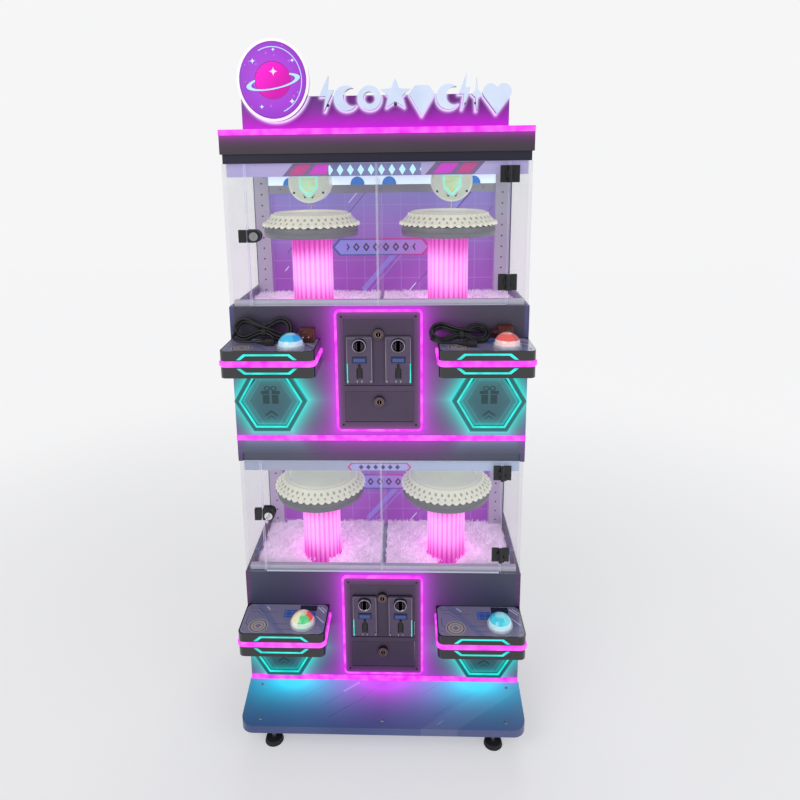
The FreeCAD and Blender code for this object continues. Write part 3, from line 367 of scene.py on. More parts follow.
def front_light(shade):
    """Light of the strips, neon frames and outlets as it falls on the front boards."""
    magenta = cyan = 0.0
    for tier in TIERS:
        middle = (PLATE_TOP[tier] + PLATE_LOW[tier]) / 2
        half = (PLATE_TOP[tier] - PLATE_LOW[tier]) / 2 + 0.0065
        gap = shade.round_box(shade.x, shade.z, (0.0, middle), (PLATE_HALF + 0.0065, half), 0.014)
        magenta = magenta + (gap.fade(0.016) * 0.85 + gap.fade(0.050) * 0.45)
    for level, reach in ((MID_STRIP, 0.018), (STEP_TOP + 0.007, 0.020), (CROWN_TOP - 0.007, 0.022)):
        magenta = magenta + (abs(shade.z - level) - 0.007).fade(reach) * 0.33
    for tier in TIERS:
        u = mirrored_x(shade) - OUTLET_X
        v = shade.z - OUTLET_Z[tier]
        gap = shade.hexagon(u, v, 0.098)
        under = (shade.z - (CONSOLE_TOP[tier] - 0.066)).ramp(0.008, -0.004)
        cyan = cyan + (gap.fade(0.017) * 1.05 + gap.fade(0.036) * 0.25) * under
    return magenta, cyan


# ------------------------------------------------------------------ mains leads (free cords)
LEAD = 0.007
STEP_GAP = 0.0078            # between neighbouring strands of a hank
REST_GAP = 0.0003            # under what lies on a console
LOBE_X = 0.0462              # from a hank's middle to the centres of its two lobes
HANK_HALF = 0.0328           # half of its height, with the strand


def hank_axes(lean):
    """Directions along the hank, up its lean and out from its front."""
    a = math.radians(lean)
    c, s = math.cos(a), math.sin(a)
    return Vector((1, 0, 0)), Vector((0, c, s)), Vector((0, -s, c))


def lobe(centre, radius, start, end, count):
    angles = [math.radians(start + (end - start) * i / (count - 1)) for i in range(count)]
    return [(centre + radius * math.cos(a), radius * math.sin(a)) for a in angles]


def hank_route(turns, lobe_x, waist_x):
    """(u, v, layer) points: rounds of a long loop that a tie draws together at its waist."""
    route = []
    for turn in range(turns):
        outer = turn % 4 in (1, 2)
        layer = (0, 0, 1, 1)[turn % 4]
        radius = 0.0292 if outer else 0.0215
        narrow = STEP_GAP * (1.5 if outer else 0.5)
        route += [(u, v, layer) for u, v in lobe(-lobe_x, radius, 180, 52, 6)]
        route += [(waist_x - 0.013, narrow + 0.001, layer), (waist_x, narrow, layer),
                  (waist_x + 0.013, narrow + 0.001, layer)]
        route += [(u, v, layer) for u, v in lobe(lobe_x, radius, 128, -128, 11)]
        route += [(waist_x + 0.013, -narrow - 0.001, layer), (waist_x, -narrow, layer),
                  (waist_x - 0.013, -narrow - 0.001, layer)]
        route += [(u, v, layer) for u, v in lobe(-lobe_x, radius, 308, 205, 5)]
    return route


def smooth_length(points):
    """Length of the curve that a clamped quadratic spline draws through these controls."""
    total, last = 0.0, None
    for i in range(len(points) - 2):
        a = points[0] if i == 0 else (points[i] + points[i + 1]) / 2
        c = points[-1] if i == len(points) - 3 else (points[i + 1] + points[i + 2]) / 2
        for step in range(9):
            t = step / 8
            p = a * (1 - t) ** 2 + points[i + 1] * 2 * t * (1 - t) + c * t * t
            if last is not None:
                total += (p - last).length
            last = p
    return total


def rubber(name):
    shade = Shade(name, (0.012, 0.012, 0.014), 0.42, slot="lead_rubber")
    shade.set("Specular IOR Level", 0.55)
    band = shade.noise(260.0, 3.0, (1.0, 0.25, 0.25))
    dust = shade.noise(24.0, 4.0)
    shade.paint((dust.ramp(0.52, 0.75) * 0.35, (0.045, 0.042, 0.05)))
    shade.set("Roughness", dust * 0.22 + 0.30)
    shade.relief(band, 0.00012)
    return shade


def spline_object(name, points, radius):
    curve = bpy.data.curves.new(name, "CURVE")
    curve.dimensions = "3D"
    spline = curve.splines.new("NURBS")
    spline.points.add(len(points) - 1)
    for target, point in zip(spline.points, points):
        target.co = (*point, 1.0)
    spline.order_u = 3
    spline.use_endpoint_u = True
    curve.bevel_depth = radius
    curve.bevel_resolution = 4
    curve.resolution_u = 6
    made = bpy.data.objects.new(name, curve)
    bpy.context.scene.collection.objects.link(made)
    return made


def put_mesh(name, vertices, faces, shade, body, smooth=True):
    mesh = bpy.data.meshes.new(name)
    mesh.from_pydata([tuple(v) for v in vertices], [], faces)
    mesh.update()
    made = bpy.data.objects.new(name, mesh)
    bpy.context.scene.collection.objects.link(made)
    if smooth:
        mesh.shade_smooth()
        mesh.set_sharp_from_angle(angle=math.radians(38))
    finish_piece(made, shade, body)
    return made


def finish_piece(made, shades, body):
    shades = shades if isinstance(shades, (list, tuple)) else [shades]
    for shade in shades:
        made.data.materials.append(shade.material)
    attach(made, body)
    return made


def frame_at(axis):
    """Two directions across an axis."""
    axis = Vector(axis).normalized()
    guide = Vector((0, 0, 1)) if abs(axis.z) < 0.9 else Vector((1, 0, 0))
    across = guide.cross(axis).normalized()
    return across, axis.cross(across).normalized(), axis


def lathe_data(profile, centre, axis, segments, squash=(1.0, 1.0)):
    """Vertices and faces of (radius, height) points turned about an axis."""
    u, v, w = frame_at(axis)
    centre = Vector(centre)
    vertices, faces = [], []
    for radius, height in profile:
        for k in range(segments):
            a = 2 * math.pi * k / segments
            vertices.append(centre + u * (radius * squash[0] * math.cos(a))
                            + v * (radius * squash[1] * math.sin(a)) + w * height)
    for i in range(len(profile) - 1):
        for k in range(segments):
            n = (k + 1) % segments
            faces.append((i * segments + k, i * segments + n, (i + 1) * segments + n,
                          (i + 1) * segments + k))
    if profile[0][0] > 0:
        faces.append(tuple(reversed(range(segments))))
    if profile[-1][0] > 0:
        last = (len(profile) - 1) * segments
        faces.append(tuple(range(last, last + segments)))
    return vertices, faces


class Mass:
    """Collects the vertices and faces of several forms into one mesh."""

    def __init__(self):
        self.vertices = []
        self.faces = []

    def add(self, data):
        start = len(self.vertices)
        self.vertices += data[0]
        self.faces += [tuple(i + start for i in face) for face in data[1]]
        return self

    def lathe(self, profile, centre, axis, segments=32, squash=(1.0, 1.0)):
        return self.add(lathe_data(profile, centre, axis, segments, squash))

    def box(self, low, high, bevel=0.0):
        bm = bmesh.new()
        bmesh.ops.create_cube(bm, size=1.0)
        low, high = Vector(low), Vector(high)
        for vertex in bm.verts:
            vertex.co = Vector([(low[i] + high[i]) / 2 + vertex.co[i] * (high[i] - low[i])
                                for i in range(3)])
        if bevel > 0:
            bmesh.ops.bevel(bm, geom=bm.edges[:], offset=bevel, segments=3, profile=0.6,
                            affect="EDGES")
        return self.from_bmesh(bm)

    def plate(self, points, y_low, y_high, bevel=0.0):
        """Flat piece of (x, z) points between two depths."""
        bm = bmesh.new()
        ring = [bm.verts.new((x, y_low, z)) for x, z in points]
        face = bm.faces.new(ring)
        grown = bmesh.ops.extrude_face_region(bm, geom=[face])
        bmesh.ops.translate(bm, verts=[g for g in grown["geom"] if isinstance(g, bmesh.types.BMVert)],
                            vec=(0, y_high - y_low, 0))
        bmesh.ops.recalc_face_normals(bm, faces=bm.faces[:])
        if bevel > 0:
            bmesh.ops.bevel(bm, geom=bm.edges[:], offset=bevel, segments=2, profile=0.6,
                            affect="EDGES")
        return self.from_bmesh(bm)

    def ring(self, middle, count, point):
        """A closed ring of vertices; point gives radius and height at an angle. Their indices."""
        start = len(self.vertices)
        for k in range(count):
            a = 2 * math.pi * k / count
            r, z = point(a)
            self.vertices.append(Vector((middle[0] + r * math.cos(a), middle[1] + r * math.sin(a), z)))
        return list(range(start, start + count))

    def bridge(self, first, second):
        count = len(first)
        self.faces += [(first[k], first[(k + 1) % count], second[(k + 1) % count], second[k])
                       for k in range(count)]

    def from_bmesh(self, bm):
        bm.verts.ensure_lookup_table()
        data = ([v.co.copy() for v in bm.verts], [tuple(v.index for v in f.verts) for f in bm.faces])
        bm.free()
        return self.add(data)

    def make(self, name, shade, body, smooth=True):
        return put_mesh(name, self.vertices, self.faces, shade, body, smooth)


def moulded_plug(name, low, high, shade):
    """Plug body with rounded edges, its face with pin collar and a tapered relief."""
    form = Mass()
    form.box(low, high, 0.004)
    middle = (low + high) / 2
    form.lathe([(0.0052, -0.016), (0.0058, -0.012), (0.0066, -0.008), (0.0074, -0.003), (0.008, 0.001)],
               (low.x, middle.y, middle.z), (1, 0, 0), 20)
    for k in range(3):
        form.lathe([(0.0066, 0.0), (0.0076, 0.0008), (0.0066, 0.0016)],
                   (low.x - 0.012 + 0.0038 * k, middle.y, middle.z), (1, 0, 0), 20)
    form.lathe([(0.013, 0.0), (0.013, 0.0012), (0.0115, 0.002), (0.0, 0.002)],
               (middle.x, low.y, middle.z), (0, -1, 0), 32)
    return form.make(name, shade, "cabinet")


def plug_pins(name, low, high, shade):
    form = Mass()
    middle = (low + high) / 2
    for dx in (-0.007, 0.007):
        form.lathe([(0.0022, 0.0), (0.0022, 0.0145), (0.0017, 0.016), (0.0, 0.0163)],
                   (middle.x + dx, low.y - 0.0015, middle.z), (0, -1, 0), 16)
    return form.make(name, shade, "cabinet")


def connector_piece(name, low, high, shade):
    """Appliance connector: body, stepped nose and relief on the left."""
    form = Mass()
    form.box(low + Vector((0.010, 0, 0)), high, 0.0025)
    form.box(low + Vector((0, 0.003, 0.0025)),
             Vector((low.x + 0.014, high.y - 0.003, high.z - 0.0025)), 0.002)
    middle = (low + high) / 2
    form.lathe([(0.0048, -0.012), (0.0056, -0.007), (0.0066, 0.0)], (low.x, middle.y, middle.z),
               (1, 0, 0), 20)
    return form.make(name, shade, "cabinet")


def tie_piece(name, centre, rise, out, shade, half_rise, half_out):
    """Flat strap round the waist of a hank."""
    vertices, faces = [], []
    count, half_width, thick, power = 40, 0.0055, 0.0012, 0.55
    for x in (-half_width, half_width):
        for grow in (0.0, thick):
            for k in range(count):
                a = 2 * math.pi * k / count
                c, s = math.cos(a), math.sin(a)
                v = math.copysign(abs(c) ** power, c) * (half_rise + grow)
                w = math.copysign(abs(s) ** power, s) * (half_out + grow)
                vertices.append(centre + Vector((x, 0, 0)) + rise * v + out * w)
    for k in range(count):
        n = (k + 1) % count
        a, b, c, d = k, count + k, 2 * count + k, 3 * count + k
        an, bn, cn, dn = n, count + n, 2 * count + n, 3 * count + n
        faces += [(b, bn, dn, d), (a, c, cn, an), (a, an, bn, b), (c, d, dn, cn)]
    return put_mesh(name, vertices, faces, shade, "cabinet")


def add_leads():
    black = rubber("lead_black")
    tie = Shade("tie_black", (0.03, 0.03, 0.035), 0.85)
    tie.relief(tie.noise(1400.0, 2.0), 0.0003)
    tie.paint((tie.noise(300.0, 2.0).ramp(0.45, 0.7), (0.075, 0.07, 0.08)))
    moulding = Shade("plug_moulding", (0.02, 0.018, 0.02), 0.38, slot="plug_plastic")
    moulding.paint((moulding.noise(30.0, 3.0).ramp(0.5, 0.8) * 0.5, (0.05, 0.03, 0.035)))
    moulding.relief(moulding.noise(700.0, 2.0), 0.0001)
    brown = Shade("plug_face_brown", (0.10, 0.018, 0.012), 0.33, slot="plug_plastic")
    brown.paint((brown.noise(40.0, 3.0).ramp(0.4, 0.8) * 0.6, (0.16, 0.035, 0.02)))
    brown.relief(brown.noise(800.0, 2.0), 0.0001)
    brass = Shade("pin_metal", (0.75, 0.72, 0.66), 0.22, 1.0)
    brass.set("Roughness", brass.noise(180.0, 3.0, (1, 0.2, 1)) * 0.25 + 0.12)
    for side, lean, waist_x, setback in (("left", 58.0, 0.004, 0.022), ("right", 30.0, 0.004, 0.004)):
        low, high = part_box("lead_" + side)
        middle = (low.x + high.x) / 2
        plug_low = Vector((high.x + 0.016, FRONT - setback - 0.026, CONSOLE_TOP["upper"] + REST_GAP))
        plug_high = plug_low + Vector((0.040, 0.026, 0.038))
        connector_low = Vector((low.x + 0.086, low.y - 0.003 - 0.024, CONSOLE_TOP["upper"] + REST_GAP))
        connector_high = connector_low + Vector((0.034, 0.024, 0.017))
        points, exit_point = lead_points(middle, lean, waist_x, (plug_low, plug_high),
                                         (connector_low, connector_high))
        lead = spline_object("mains_lead_" + side, points, LEAD / 2)
        finish_piece(lead, black, "cabinet")
        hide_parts("lead_" + side)
        _, rise, out = hank_axes(lean)
        centre = hank_base(middle, lean) + Vector((waist_x, 0, 0)) + out * (STEP_GAP / 2)
        strap = tie_piece("lead_tie_" + side, centre, rise, out, tie, 0.0158, 0.0085)
        plug = moulded_plug("mains_plug_" + side, plug_low, plug_high, brown)
        pins = plug_pins("mains_plug_pins_" + side, plug_low, plug_high, brass)
        connector = connector_piece("mains_connector_" + side, connector_low, connector_high, moulding)
        smooth_length(points)
        if side == "left":
            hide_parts("lead_ends")


def hank_base(middle, lean):
    _, rise, out = hank_axes(lean)
    return Vector((middle, FRONT - 0.0026 - rise.y * HANK_HALF,
                   CONSOLE_TOP["upper"] + 2 * REST_GAP + rise.z * HANK_HALF
                   - min(0.0, out.z) * STEP_GAP))


def lead_points(middle, lean, waist_x, plug_box, connector_box):
    """Control points of a lead: connector, four rounds of the hank, half a round over them, plug."""
    along, rise, out = hank_axes(lean)
    connector_low, connector_high = connector_box
    plug_low, plug_high = plug_box
    base = hank_base(middle, lean)
    exit_point = Vector((connector_low.x - 0.012, (connector_low.y + connector_high.y) / 2,
                         (connector_low.z + connector_high.z) / 2))
    entry = Vector((plug_low.x - 0.015, (plug_low.y + plug_high.y) / 2,
                    (plug_low.z + plug_high.z) / 2))

    def placed(u, v, layer):
        return base + along * u + rise * v + out * (layer * STEP_GAP)

    rounds = [placed(*p) for p in hank_route(4, LOBE_X, waist_x)]
    left = middle - LOBE_X - 0.026
    rising = Vector((left - 0.002, exit_point.y + 0.014, exit_point.z + 0.006))
    start = [exit_point, exit_point + Vector((-0.012, 0, 0)), exit_point + Vector((-0.026, 0, 0)),
             Vector(((exit_point.x - 0.026 + left) / 2 - 0.004, exit_point.y + 0.002,
                     exit_point.z + 0.001)), rising, (rising + rounds[0]) / 2]
    crossing = [placed(u, v, 1.95) for u, v in lobe(-LOBE_X, 0.0262, 174, 60, 5)]
    crossing += [placed(-0.012, 0.0075, 2.1), placed(waist_x, 0.002, 2.15), placed(0.020, -0.002, 2.1)]
    straight = [entry - Vector((0.026, 0, 0)), entry - Vector((0.012, 0, 0)), entry]
    return start + rounds + crossing + straight, exit_point


add_leads()


# ------------------------------------------------------------------ materials of the CAD nodes
def wear(node, shade):
    """Gives a CAD node its material."""
    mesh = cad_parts[node].data
    mesh.materials.clear()
    mesh.materials.append(shade.material)
    for polygon in mesh.polygons:
        polygon.material_index = 0


def wear_parts(node, first, *rules):
    """Gives the faces whose middle meets a rule another material."""
    wear(node, first)
    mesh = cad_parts[node].data
    for index, (shade, test) in enumerate(rules, 1):
        mesh.materials.append(shade.material)
        for polygon in mesh.polygons:
            if test(polygon.center, polygon.normal):
                polygon.material_index = index


def line_print(shade, u, v, lines):
    """Mask of straight bars given as (u, v, du, dv, half width): start, run and width."""
    mask = 0.0
    for u0, v0, du, dv, half in lines:
        length = math.hypot(du, dv)
        cu, cv = du / length, dv / length
        across = abs((u - u0) * (-cv) + (v - v0) * cu)
        along = (u - u0) * cu + (v - v0) * cv
        mask = (across.below(half) * along.between(0.0, length)).larger(mask)
    return mask


def board_shade():
    shade = Shade("front_board_paint", (0.062, 0.060, 0.098), 0.5, slot="front_paint")
    fade = shade.noise(2.2, 3.0)
    low = shade.z.ramp(HEAD["lower"], STEP_TOP)
    shade.paint((fade.ramp(0.35, 0.75), (0.088, 0.078, 0.112)), (low * 0.55, (0.055, 0.095, 0.20)))
    fine_texture(shade, 0.46, 0.00005, 1300.0)
    magenta, cyan = front_light(shade)
    shade.glow(shade.total(shade.scaled(MAGENTA_FALL, magenta), shade.scaled(CYAN_FALL, cyan)), 1.0)
    return shade


def side_shade():
    shade = Shade("side_board_print", (0.070, 0.055, 0.120), 0.42, slot="side_paint")
    u = shade.y
    v = shade.z
    height = v.ramp(0.1, 1.6)
    slant = u * 1.6 + v
    lines = []
    for k in range(7):
        start = 0.16 + 0.235 * k
        lines.append((-0.11 + 0.03 * (k % 2), start, 0.20, 0.23, 0.0016 + 0.0012 * (k % 3)))
    wide = (slant * (1 / 0.46) + 0.1)._do("FRACT").between(0.0, 0.36)
    cut = slant._do("FRACT").between(0.15, 0.55)
    grid = (u * 25.0)._do("FRACT").below(0.03).larger((v * 25.0)._do("FRACT").below(0.03))
    cell = shade.hexagon(u - 0.07, (v - 0.62), 0.10)
    cell_two = shade.hexagon(u - 0.03, (v - 1.40), 0.13)
    rings = abs(cell).below(0.003).larger(abs(cell + 0.014).below(0.0015))
    rings = rings.larger(abs(cell_two).below(0.003)).larger(abs(cell_two + 0.016).below(0.0015))
    shade.paint((height, (0.150, 0.050, 0.240)), (wide * 0.55, (0.060, 0.130, 0.300)),
                (cut * 0.30, (0.240, 0.040, 0.260)), (grid * 0.25, (0.300, 0.260, 0.460)),
                (line_print(shade, u, v, lines), (0.030, 0.420, 0.520)),
                (rings, (0.550, 0.100, 0.520)))
    fine_texture(shade, 0.38, 0.00004, 1300.0)
    magenta, cyan = front_light(shade)
    front = shade.y.below(FRONT + 0.0015)
    shade.glow(shade.total(shade.scaled(MAGENTA_FALL, magenta * front),
                           shade.scaled(CYAN_FALL, cyan * front)), 1.0)
    return shade


def kick_shade():
    shade = Shade("kick_plate_print", (0.060, 0.095, 0.260), 0.36, slot="step_paint")
    u, v = shade.x, shade.y - FRONT
    cloud = shade.noise(3.0, 3.0)
    side = abs(u)
    centre = shade.length(u * 1.0, (v + 0.004) * 2.3)
    spots = shade.length(side - 0.265, (v + 0.006) * 2.2)
    lines = [(-0.235, -0.060, 0.085, 0.052, 0.0011), (-0.165, -0.075, 0.095, 0.062, 0.0011),
             (-0.110, -0.088, 0.060, 0.036, 0.0008), (-0.150, -0.112, 0.050, 0.032, 0.0009),
             (-0.045, -0.040, 0.050, 0.030, 0.0008), (0.110, -0.044, 0.055, 0.036, 0.0010),
             (0.140, -0.105, 0.055, 0.032, 0.0007), (0.235, -0.035, 0.022, 0.018, 0.0007)]
    pale = [(-0.115, -0.038, 0.045, 0.028, 0.0030), (0.150, -0.128, 0.018, 0.012, 0.0010)]
    wedge = (v * 1.6 - u + 0.43).between(0.0, 0.10) * u.above(0.10)
    shade.paint((cloud.ramp(0.35, 0.7), (0.090, 0.135, 0.340)),
                (u.ramp(-0.1, 0.36) * 0.45, (0.130, 0.130, 0.280)), (wedge * 0.4, (0.20, 0.24, 0.42)),
                (line_print(shade, u, v, lines) * 0.85, (0.030, 0.030, 0.090)),
                (line_print(shade, u, v, pale) * 0.7, (0.42, 0.45, 0.62)))
    fine_texture(shade, 0.30, 0.00004, 1400.0)
    # painted light: magenta, cyan and blue pools of glow on the step's top, standing in for the machine's
    # lights falling on it
    top = shade.normal()[2].above(0.5)
    magenta = (centre - 0.060).fade(0.075) * top
    cyan = (spots - 0.045).fade(0.070) * top
    blue = (spots - 0.05).fade(0.13) * top
    shade.glow(shade.total(shade.scaled((0.56, 0.0, 0.66), magenta),
                           shade.scaled((0.0, 0.58, 0.62), cyan),
                           shade.scaled((0.0, 0.11, 0.28), blue)), 1.0)
    return shade


def crown_shade():
    shade = Shade("crown_paint", (0.052, 0.045, 0.052), 0.42, slot="crown_paint")
    band = shade.z.below(HEAD["upper"] + 0.0232)
    shade.paint((shade.noise(3.0, 3.0).ramp(0.4, 0.7), (0.062, 0.054, 0.064)),
                (band, (0.016, 0.014, 0.036)))
    fine_texture(shade, 0.40, 0.00006, 1200.0)
    # painted light: the pink strip's glow on the crown's front and along the front of its top
    level = (abs(shade.z - (CROWN_TOP - 0.007)) - 0.007).fade(0.010)
    top = shade.normal()[2].above(0.5)
    edge = (shade.y - FRONT).fade(0.05) * top
    front = shade.normal()[1].below(-0.5)
    shade.glow(shade.scaled((0.50, 0.0, 0.56), level * front * 0.6 + edge * 0.6), 1.0)
    return shade


def plate_shade(name, colour, slot):
    """Powder-coated sheet of the coin panel, with the neon's light at its rim."""
    shade = Shade(name, colour, 0.45, slot=slot)
    shade.paint((shade.noise(5.0, 3.0).ramp(0.35, 0.7), tuple(c * 1.25 for c in colour)))
    fine_texture(shade, 0.46, 0.00009, 1500.0)
    rim = 0.0
    for tier in TIERS:
        middle = (PLATE_TOP[tier] + PLATE_LOW[tier]) / 2
        half = (PLATE_TOP[tier] - PLATE_LOW[tier]) / 2
        gap = shade.round_box(shade.x, shade.z, (0.0, middle), (PLATE_HALF, half), 0.008) * -1.0
        rim = rim + gap.fade(0.007) * gap.above(-0.002)
    front = shade.y.below(FRONT + 0.001)
    shade.glow(shade.scaled((0.46, 0.02, 0.52), rim * front * 0.55), 1.0)
    return shade


def light_shade(name, colour, core, strength, slot=None):
    """Diffuser over a light strip: brighter spots along it and a paler middle."""
    shade = Shade(name, tuple(0.25 * c + 0.01 for c in colour), 0.3, slot=slot)
    spots = shade.noise(38.0, 1.0)
    mixed = shade.mix(spots.ramp(0.20, 0.80), colour, core)
    shade.glow(mixed, 1.0)
    shade.set("Emission Strength", spots * 0.16 * strength + strength * 0.88)
    shade.relief(shade.noise(900.0, 1.0), 0.00003)
    return shade


def glass_shade():
    """Clear panes: bright at grazing angles, painted light on the cut edges, faint smears."""
    shade = Shade("door_glass", (0.86, 0.90, 0.96), 0.04, slot="clear_glass")
    shade.set("IOR", 1.45)
    facing = shade.node("ShaderNodeLayerWeight")
    facing.inputs["Blend"].default_value = 0.22
    rim = Value(shade, facing.outputs["Fresnel"])
    smears = shade.noise(7.0, 4.0, (1.0, 1.0, 0.45)).ramp(0.52, 0.80)
    corner = (HALF - 0.003 - 0.054)
    side = abs(shade.x)
    nx, ny, nz = shade.normal()
    inside = side.between(0.1, corner + 0.006)
    front_edge = abs(ny).above(0.5) * side.below(0.003) * 0.22
    bevel = abs(nz).above(0.5).larger(abs(nx).above(0.5) * inside).larger(front_edge)
    # painted light: the cut edges are made more opaque and glow faintly, for light caught in the acrylic
    alpha = (rim * 0.22 + smears * 0.015 + 0.025 + bevel * 0.60).clamped()
    shade.glow(shade.scaled((0.50, 0.56, 0.66), bevel), 0.30)
    shade.set("Alpha", alpha)
    shade.set("Roughness", smears * 0.10 + 0.03)
    shade.relief(shade.noise(3.0, 2.0), 0.0002, 0.25)
    return shade


def wall_shade():
    """Printed back walls and valances, which glow with their own colour as painted light."""
    shade = Shade("back_wall_print", (0.36, 0.30, 0.62), 0.45, slot="printed_plastic")
    x = shade.x
    depth = shade.y.above(WALL_Y - 0.02)
    low_part = shade.z.below(1.0)
    local = shade.rise(DECK)
    down = local.ramp(0.36, 0.02)
    grid = (x * 18.0)._do("FRACT").below(0.035).larger((local * 18.0)._do("FRACT").below(0.035))
    dark = [(0.075, 0.005, 0.21, 0.245, 0.0016), (0.10, 0.0, 0.23, 0.27, 0.0010),
            (-0.29, 0.135, 0.10, 0.12, 0.0017), (0.16, 0.19, 0.14, 0.165, 0.0022),
            (-0.10, 0.255, 0.06, 0.07, 0.0012)]
    blue = [(-0.06, 0.02, 0.13, 0.15, 0.0075), (-0.035, 0.02, 0.16, 0.185, 0.0018),
            (0.18, 0.23, 0.10, 0.118, 0.0060)]
    white = [(-0.10, 0.285, 0.03, 0.035, 0.0013), (0.08, 0.015, 0.022, 0.026, 0.0015),
             (-0.30, 0.08, 0.012, 0.014, 0.0014)]
    bx, bz = x + 0.004, local - 0.152
    slanted = bx + bz * 0.9
    half_height = 0.026
    banner = (abs(bx) + abs(bz) * 0.85).below(0.150) * abs(bz).below(half_height)
    inner = (abs(bx) + abs(bz) * 0.85).below(0.141) * abs(bz).below(half_height - 0.0045)
    outline = banner - inner
    fill = shade.mix(slanted.ramp(-0.12, 0.13), (0.23, 0.30, 0.72), (0.42, 0.22, 0.62))
    edge = shade.mix((bz * 2.0 + bx).ramp(-0.06, 0.10), (0.05, 0.10, 0.32), (0.50, 0.02, 0.26))
    tiles = (abs(bx.repeat(0.030)) + abs(bz) * 0.75).below(0.0105)
    tiles = tiles * abs(bx).below(0.104)
    gems = (abs(bx.repeat(0.030)) + abs(bz) * 0.75).below(0.0045)
    wall = shade.mix(down, (0.26, 0.24, 0.60), (0.28, 0.045, 0.40))
    wall = shade.over(wall, *[
        (shade.noise(4.0, 2.0).ramp(0.4, 0.75) * 0.4, (0.36, 0.16, 0.55)),
        (grid * 0.30, (0.52, 0.40, 0.74)),
        (line_print(shade, x, local, dark) * 0.8, (0.10, 0.06, 0.24)),
        (line_print(shade, x, local, blue) * 0.55, (0.22, 0.32, 0.78)),
        (line_print(shade, x, local, white) * 0.8, (0.80, 0.72, 0.92)), (inner * 0.85, fill),
        (outline, edge), (tiles * (gems * -1.0 + 1.0), (0.05, 0.03, 0.10))])
    # valances
    side = abs(x + 0.004)
    lean = x + 0.004 - (local - 0.36) * 0.9
    lean_side = abs(lean)
    band = local.between(0.372, 0.396)
    bar_one = lean_side.between(0.135, 0.178) * band
    bar_two = lean_side.between(0.192, 0.226) * band
    shadow = lean_side.between(0.118, 0.240) * local.between(0.368, 0.399)
    plinth = side.below(0.116) * local.between(0.366, 0.398)
    beads = (abs(x.repeat(0.026)) + abs(local - 0.382) * 0.62).below(0.0085)
    upper = shade.mix(shade.noise(5.0, 2.0), (0.33, 0.30, 0.52), (0.40, 0.34, 0.60))
    upper = shade.over(upper, *[
        (shadow * 0.75, (0.09, 0.02, 0.10)), (bar_one, (0.52, 0.03, 0.50)),
        (bar_two, (0.46, 0.04, 0.22)), (plinth * 0.8, (0.10, 0.13, 0.30)),
        (beads * plinth, (0.50, 0.80, 0.86))])
    under = shade.mix(x.ramp(-0.3, 0.35), (0.30, 0.32, 0.44), (0.36, 0.42, 0.58))
    lx, lz = x + 0.004, local - 0.352
    shield = (abs(lx) + abs(lz) * 0.85).below(0.088) * abs(lz).below(0.0125)
    shield_in = (abs(lx) + abs(lz) * 0.85).below(0.083) * abs(lz).below(0.0098)
    under = shade.over(under, *[
        (shield, edge), (shield_in, (0.33, 0.33, 0.62))])
    drops = (abs(lx.repeat(0.020)) + abs(lz) * 0.9).below(0.0068)
    under = shade.mix(drops * abs(lx).below(0.060), under, (0.06, 0.04, 0.12))
    front = shade.mix(low_part, upper, under)
    colour = shade.mix(depth, front, wall)
    shade.set("Base Color", colour)
    # painted light: the walls and valances glow with their own colour
    shade.glow(colour, 0.42)
    fine_texture(shade, 0.34, 0.00003, 1500.0)
    return shade


def enamel(name, colour, slot=None, rough=0.35, holes=None):
    """Painted sheet metal with a light orange-peel skin."""
    shade = Shade(name, colour, rough, slot=slot)
    layers = [(shade.noise(6.0, 3.0).ramp(0.4, 0.75) * 0.5, tuple(c * 0.86 for c in colour))]
    if holes is not None:
        layers.append(holes(shade))
    shade.paint(*layers)
    shade.set("Roughness", shade.noise(14.0, 3.0) * 0.16 + rough - 0.06)
    shade.relief(shade.noise(420.0, 2.0), 0.00008)
    return shade


def post_holes(shade):
    """Row of screw holes down each post, drawn as dark dots of painted shade."""
    u = abs(shade.x) - 0.357
    v = shade.z.repeat(0.032)
    return (shade.length(u, v).below(0.0026) * shade.y.below(WALL_Y - 0.0175), (0.03, 0.03, 0.05))


def metal(name, colour, rough, scratch=(1.0, 1.0, 18.0), slot=None, depth=0.00004):
    """Bare or plated metal with brushed, uneven gloss."""
    shade = Shade(name, colour, rough, 1.0, slot=slot)
    lines = shade.noise(160.0, 3.0, scratch)
    spots = shade.noise(22.0, 4.0)
    shade.paint((spots.ramp(0.5, 0.8) * 0.35, tuple(c * 0.7 for c in colour)))
    shade.set("Roughness", (lines * 0.16 + spots * 0.10 + rough - 0.12).clamped())
    shade.relief(lines, depth)
    return shade


def moulded(name, colour, rough=0.4, slot=None, grain=900.0, depth=0.00008, spread=0.8):
    """Moulded plastic: fine grain, faint cloudiness."""
    shade = Shade(name, colour, rough, slot=slot)
    shade.paint((shade.noise(12.0, 3.0).ramp(0.4, 0.75), tuple(c * spread for c in colour)))
    fine_texture(shade, rough, depth, grain)
    return shade


